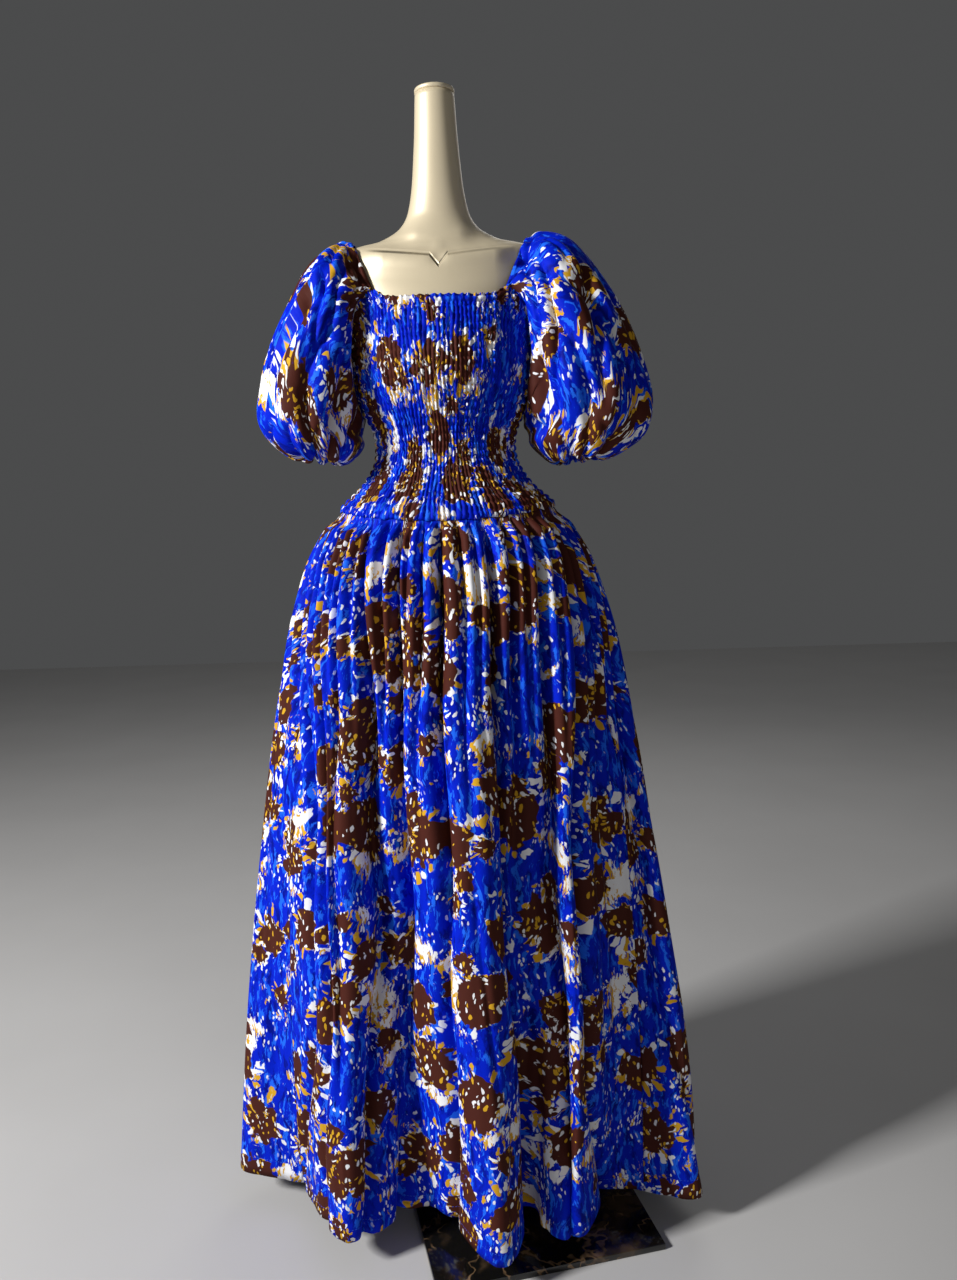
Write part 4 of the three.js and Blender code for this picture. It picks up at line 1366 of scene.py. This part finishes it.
def form_skin():
    """The form's smooth skin, ring by ring from under its waist to the top of its neck."""
    half_width, front, back = ring_sizes(FORM_RINGS)
    low, high = FORM_RINGS["height"][[0, -1]]
    covered, shoulder = 1.40, 1.53
    covered_rings, shoulder_rings, neck_rings = 38, 52, 24
    heights = np.concatenate(
        [
            np.linspace(low, covered, covered_rings, endpoint=False),
            np.linspace(covered, shoulder, shoulder_rings, endpoint=False),
            np.linspace(shoulder, high, neck_rings),
        ]
    )
    bpy.ops.object.select_all(action="DESELECT")
    bpy.ops.mesh.primitive_circle_add(
        vertices=bpy.context.scene.form_sizes.columns, radius=1, fill_type="NGON",
        location=(0, 0, heights[0]),
    )
    piece = bpy.context.object
    piece.name = "form_skin"
    edit(piece)
    bpy.ops.mesh.select_all(action="SELECT")
    wide, deep = 1.0, 1.0
    for i, height in enumerate(heights):
        if i:
            rise = float(height - heights[i - 1])
            bpy.ops.mesh.extrude_region_move(TRANSFORM_OT_translate={"value": (0, 0, rise)})
        new_wide, new_deep = float(half_width(height)), float(back(height))
        bpy.ops.transform.resize(
            value=(new_wide / wide, new_deep / deep, 1), center_override=(0, 0, float(height))
        )
        wide, deep = new_wide, new_deep

    # The front of each ring has a depth of its own.
    for height in heights:
        level = float(height - heights[0])
        choose(piece, lambda co: abs(co.z - level) < 1e-5 and co.y < -1e-5)
        ratio = float(front(height) / back(height))
        bpy.ops.transform.resize(value=(1, ratio, 1), center_override=(0, 0, float(height)))
    shape_chest(piece, heights[0])
    bpy.ops.mesh.select_all(action="SELECT")
    bpy.ops.mesh.normals_make_consistent(inside=False)
    close_edit(piece)
    return piece


def shape_chest(piece, foot):
    """Runs the neck softly into the chest, and makes each collarbone a ledge under a groove."""
    neck_foot = 1.480 - foot
    pull(piece, (0, 0.03), neck_foot, 0, (0, -0.006, 0), 0.032)
    line, rise = NOTCH["top"] - foot, NOTCH["rise"]
    pull(piece, (0.011, 0.100), line - 0.006, rise, (0, -0.0024, 0), 0.020)
    pull(piece, (0.011, 0.090), line + 0.010, rise, (0, 0.0024, 0), 0.020)

    # Between the two is a notch.
    pull(piece, (0, 0.005), line - 0.006, 0, (0, 0.0030, 0), 0.012)


def neck_cap():
    """The flat cap on the neck, with a narrow bevel above and below."""
    low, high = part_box("form_neck_cap")
    radius, bottom, top = high[0], low[2], high[2]
    return turned_piece(
        "form_cap",
        [(radius - 0.0012, bottom), (radius, bottom + 0.0008), (radius, top - 0.0016),
         (radius - 0.0006, top - 0.0006), (radius - 0.002, top), (0.001, top)],
    )


def pole():
    """The pole, with its flange on the base and its boss under the form."""
    sizes = bpy.context.scene.stand_sizes
    low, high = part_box("form_pole")
    foot, top = float(low[2]), float(high[2])
    r, flange, boss = sizes.pole_radius, 0.036, 0.021
    outline = [
        (flange - 0.001, foot),
        (flange, foot + 0.001),
        (flange, foot + 0.0045),
        (flange - 0.0015, foot + 0.006),
        (r + 0.004, foot + 0.006),
        (r + 0.001, foot + 0.0075),
        (r, foot + 0.011),
        (r, top - 0.026),
        (boss - 0.001, top - 0.024),
        (boss, top - 0.023),
        (boss, top - 0.001),
        (boss - 0.001, top),
        (0.001, top),
    ]
    return turned_piece("pole", outline, (sizes.pole_x, 0.0), vertices=64)


def stone_base():
    """The square base: a thin block, a little turned, with bevelled edges."""
    sizes = bpy.context.scene.stand_sizes
    bpy.ops.object.select_all(action="DESELECT")
    bpy.ops.mesh.primitive_cube_add(
        size=1, location=(sizes.pole_x, 0, sizes.base_thick / 2), rotation=(0, 0, sizes.base_turn),
        scale=(sizes.base_side, sizes.base_side, sizes.base_thick),
    )
    base = bpy.context.object
    base.name = "base"
    bpy.ops.object.transform_apply(location=True, rotation=True, scale=True)
    edit(base)
    bpy.ops.mesh.select_all(action="SELECT")
    bpy.ops.mesh.bevel(offset=0.0012, segments=3, affect="EDGES")
    close_edit(base)
    bpy.ops.object.shade_smooth_by_angle(angle=math.radians(40))
    return base


def photo_camera():
    """The camera, where the photo was taken from."""
    sizes = bpy.context.scene.stage_sizes
    data = bpy.data.cameras.new("camera")
    data.lens = sizes.focal
    data.sensor_width = 36
    camera = in_scene(bpy.data.objects.new("camera", data))
    cp, sp = math.cos(sizes.camera_pitch), math.sin(sizes.camera_pitch)
    cr, sr = math.cos(sizes.camera_roll), math.sin(sizes.camera_roll)
    right = Vector((cr, -sp * sr, -cp * sr))
    up = Vector((sr, cr * sp, cr * cp))
    camera.matrix_world = Matrix.Translation(sizes.camera_place) @ Matrix(
        (right, up, right.cross(up))
    ).transposed().to_4x4()
    bpy.context.scene.camera = camera


def wide_floor():
    """A wide pale floor."""
    bpy.ops.object.select_all(action="DESELECT")
    bpy.ops.mesh.primitive_plane_add(size=12, location=(0, 0, 0))
    floor = bpy.context.object
    floor.name = "floor"
    floor.data.materials.append(floor_material())


def soft_lights():
    """A dim light from all round, a strong lamp at the left and two weak ones."""
    world = bpy.data.worlds.new("studio")
    world.use_nodes = True
    background = world.node_tree.nodes["Background"].inputs
    background["Color"].default_value = (0.78, 0.79, 0.80, 1)
    background["Strength"].default_value = 0.09
    bpy.context.scene.world = world

    # Each lamp's name, its place, its side in metres and its power in watts.
    lamps = [
        ("key", (-2.7, -1.5, 2.3), 0.5, 172),
        ("fill", (1.0, -2.8, 1.5), 1.2, 6),
        ("back", (0.6, 2.4, 2.6), 1.6, 10),
    ]
    middle = Vector((0, 0, 0.9))
    for name, place, side, power in lamps:
        light = bpy.data.lights.new(name, "AREA")
        light.size, light.energy = side, power
        lamp = in_scene(bpy.data.objects.new(name, light))
        lamp.location = place
        lamp.rotation_euler = (middle - lamp.location).to_track_quat("-Z", "Y").to_euler()


class DRESS_OT_bodice(bpy.types.Operator):
    """Make the front and back of the shirred bodice"""

    bl_idname = "dress.bodice"
    bl_label = "Bodice"

    def execute(self, context):
        bodice_panel("bodice_front_cloth", FRONT_EDGE, 0.0)
        bodice_panel("bodice_back_cloth", BACK_EDGE, 180.0)
        return {"FINISHED"}


class DRESS_OT_sleeves(bpy.types.Operator):
    """Make the two puff sleeves"""

    bl_idname = "dress.sleeves"
    bl_label = "Sleeves"

    def execute(self, context):
        sleeve("sleeve_left_cloth", "left")
        sleeve("sleeve_right_cloth", "right")
        return {"FINISHED"}


class DRESS_OT_skirt(bpy.types.Operator):
    """Make the gathered skirt with its hem stitching"""

    bl_idname = "dress.skirt"
    bl_label = "Skirt"

    def execute(self, context):
        seam = SKIRT_SEAM_ANGLE
        # Each panel's name, its first and last angle, and its columns and rows of faces.
        panels = [("front", -seam, seam, 300, 150), ("back", seam, 360 - seam, 480, 96)]
        for name, start, end, columns, rows in panels:
            outer, above_hem = skirt_panel(f"skirt_{name}_cloth", start, end, columns, rows)
            row = int(np.argmin(np.abs(above_hem.mean(axis=1) - context.scene.dress_sizes.hem_turn)))
            normals = grid_normals(outer, False)[row]
            stitches = stitch_row(f"hem_stitches_{name}", outer[row], normals)
            finish_piece(stitches, thread_material(), "print_cloth")
        return {"FINISHED"}


class DRESS_OT_form(bpy.types.Operator):
    """Make the limbless dress form and its neck cap"""

    bl_idname = "dress.form"
    bl_label = "Dress form"

    def execute(self, context):
        finish_piece(form_skin(), form_material(), "form_skin", "form_body")
        finish_piece(neck_cap(), form_material(), "form_skin", "form_neck_cap")
        return {"FINISHED"}


class DRESS_OT_stand(bpy.types.Operator):
    """Make the pole with its flange, and the square stone base"""

    bl_idname = "dress.stand"
    bl_label = "Pole and base"

    def execute(self, context):
        finish_piece(pole(), steel_material(), "pole_steel", "form_pole")
        finish_piece(stone_base(), stone_material(), "base_stone", "form_base")
        return {"FINISHED"}


class DRESS_OT_stage(bpy.types.Operator):
    """Make the camera, the pale floor and the soft lights"""

    bl_idname = "dress.stage"
    bl_label = "Stage"

    def execute(self, context):
        photo_camera()
        context.scene.view_settings.view_transform = "Standard"
        wide_floor()
        soft_lights()
        return {"FINISHED"}


class DRESS_PT_panel(bpy.types.Panel):
    """Lists the steps that make the dress."""

    bl_label = "Maxi dress"
    bl_idname = "DRESS_PT_panel"
    bl_space_type = "VIEW_3D"
    bl_region_type = "UI"
    bl_category = "Dress"

    def draw(self, context):
        for step in STEPS:
            self.layout.operator(step.bl_idname)
        for group in GROUPS:
            settings = getattr(context.scene, group)
            for name in settings.__annotations__:
                self.layout.prop(settings, name)


STEPS = (
    DRESS_OT_stage,
    DRESS_OT_form,
    DRESS_OT_stand,
    DRESS_OT_bodice,
    DRESS_OT_sleeves,
    DRESS_OT_skirt,
)
GROUPS = {
    "dress_sizes": DressSizes,
    "dress_colours": DressColours,
    "form_sizes": FormSizes,
    "stand_sizes": StandSizes,
    "stage_sizes": StageSizes,
}


def register():
    for item in (*GROUPS.values(), *STEPS, DRESS_PT_panel):
        bpy.utils.register_class(item)
    for name, group in GROUPS.items():
        setattr(bpy.types.Scene, name, PointerProperty(type=group))


def unregister():
    for name in GROUPS:
        delattr(bpy.types.Scene, name)
    for item in reversed((*GROUPS.values(), *STEPS, DRESS_PT_panel)):
        bpy.utils.unregister_class(item)


def main():
    """Makes everything: the stage, the form, the stand, the bodice, the sleeves and the skirt."""
    register()
    bpy.ops.dress.stage()
    bpy.ops.dress.form()
    bpy.ops.dress.stand()
    bpy.ops.dress.bodice()
    bpy.ops.dress.sleeves()
    bpy.ops.dress.skirt()


if __name__ == "__main__":
    main()
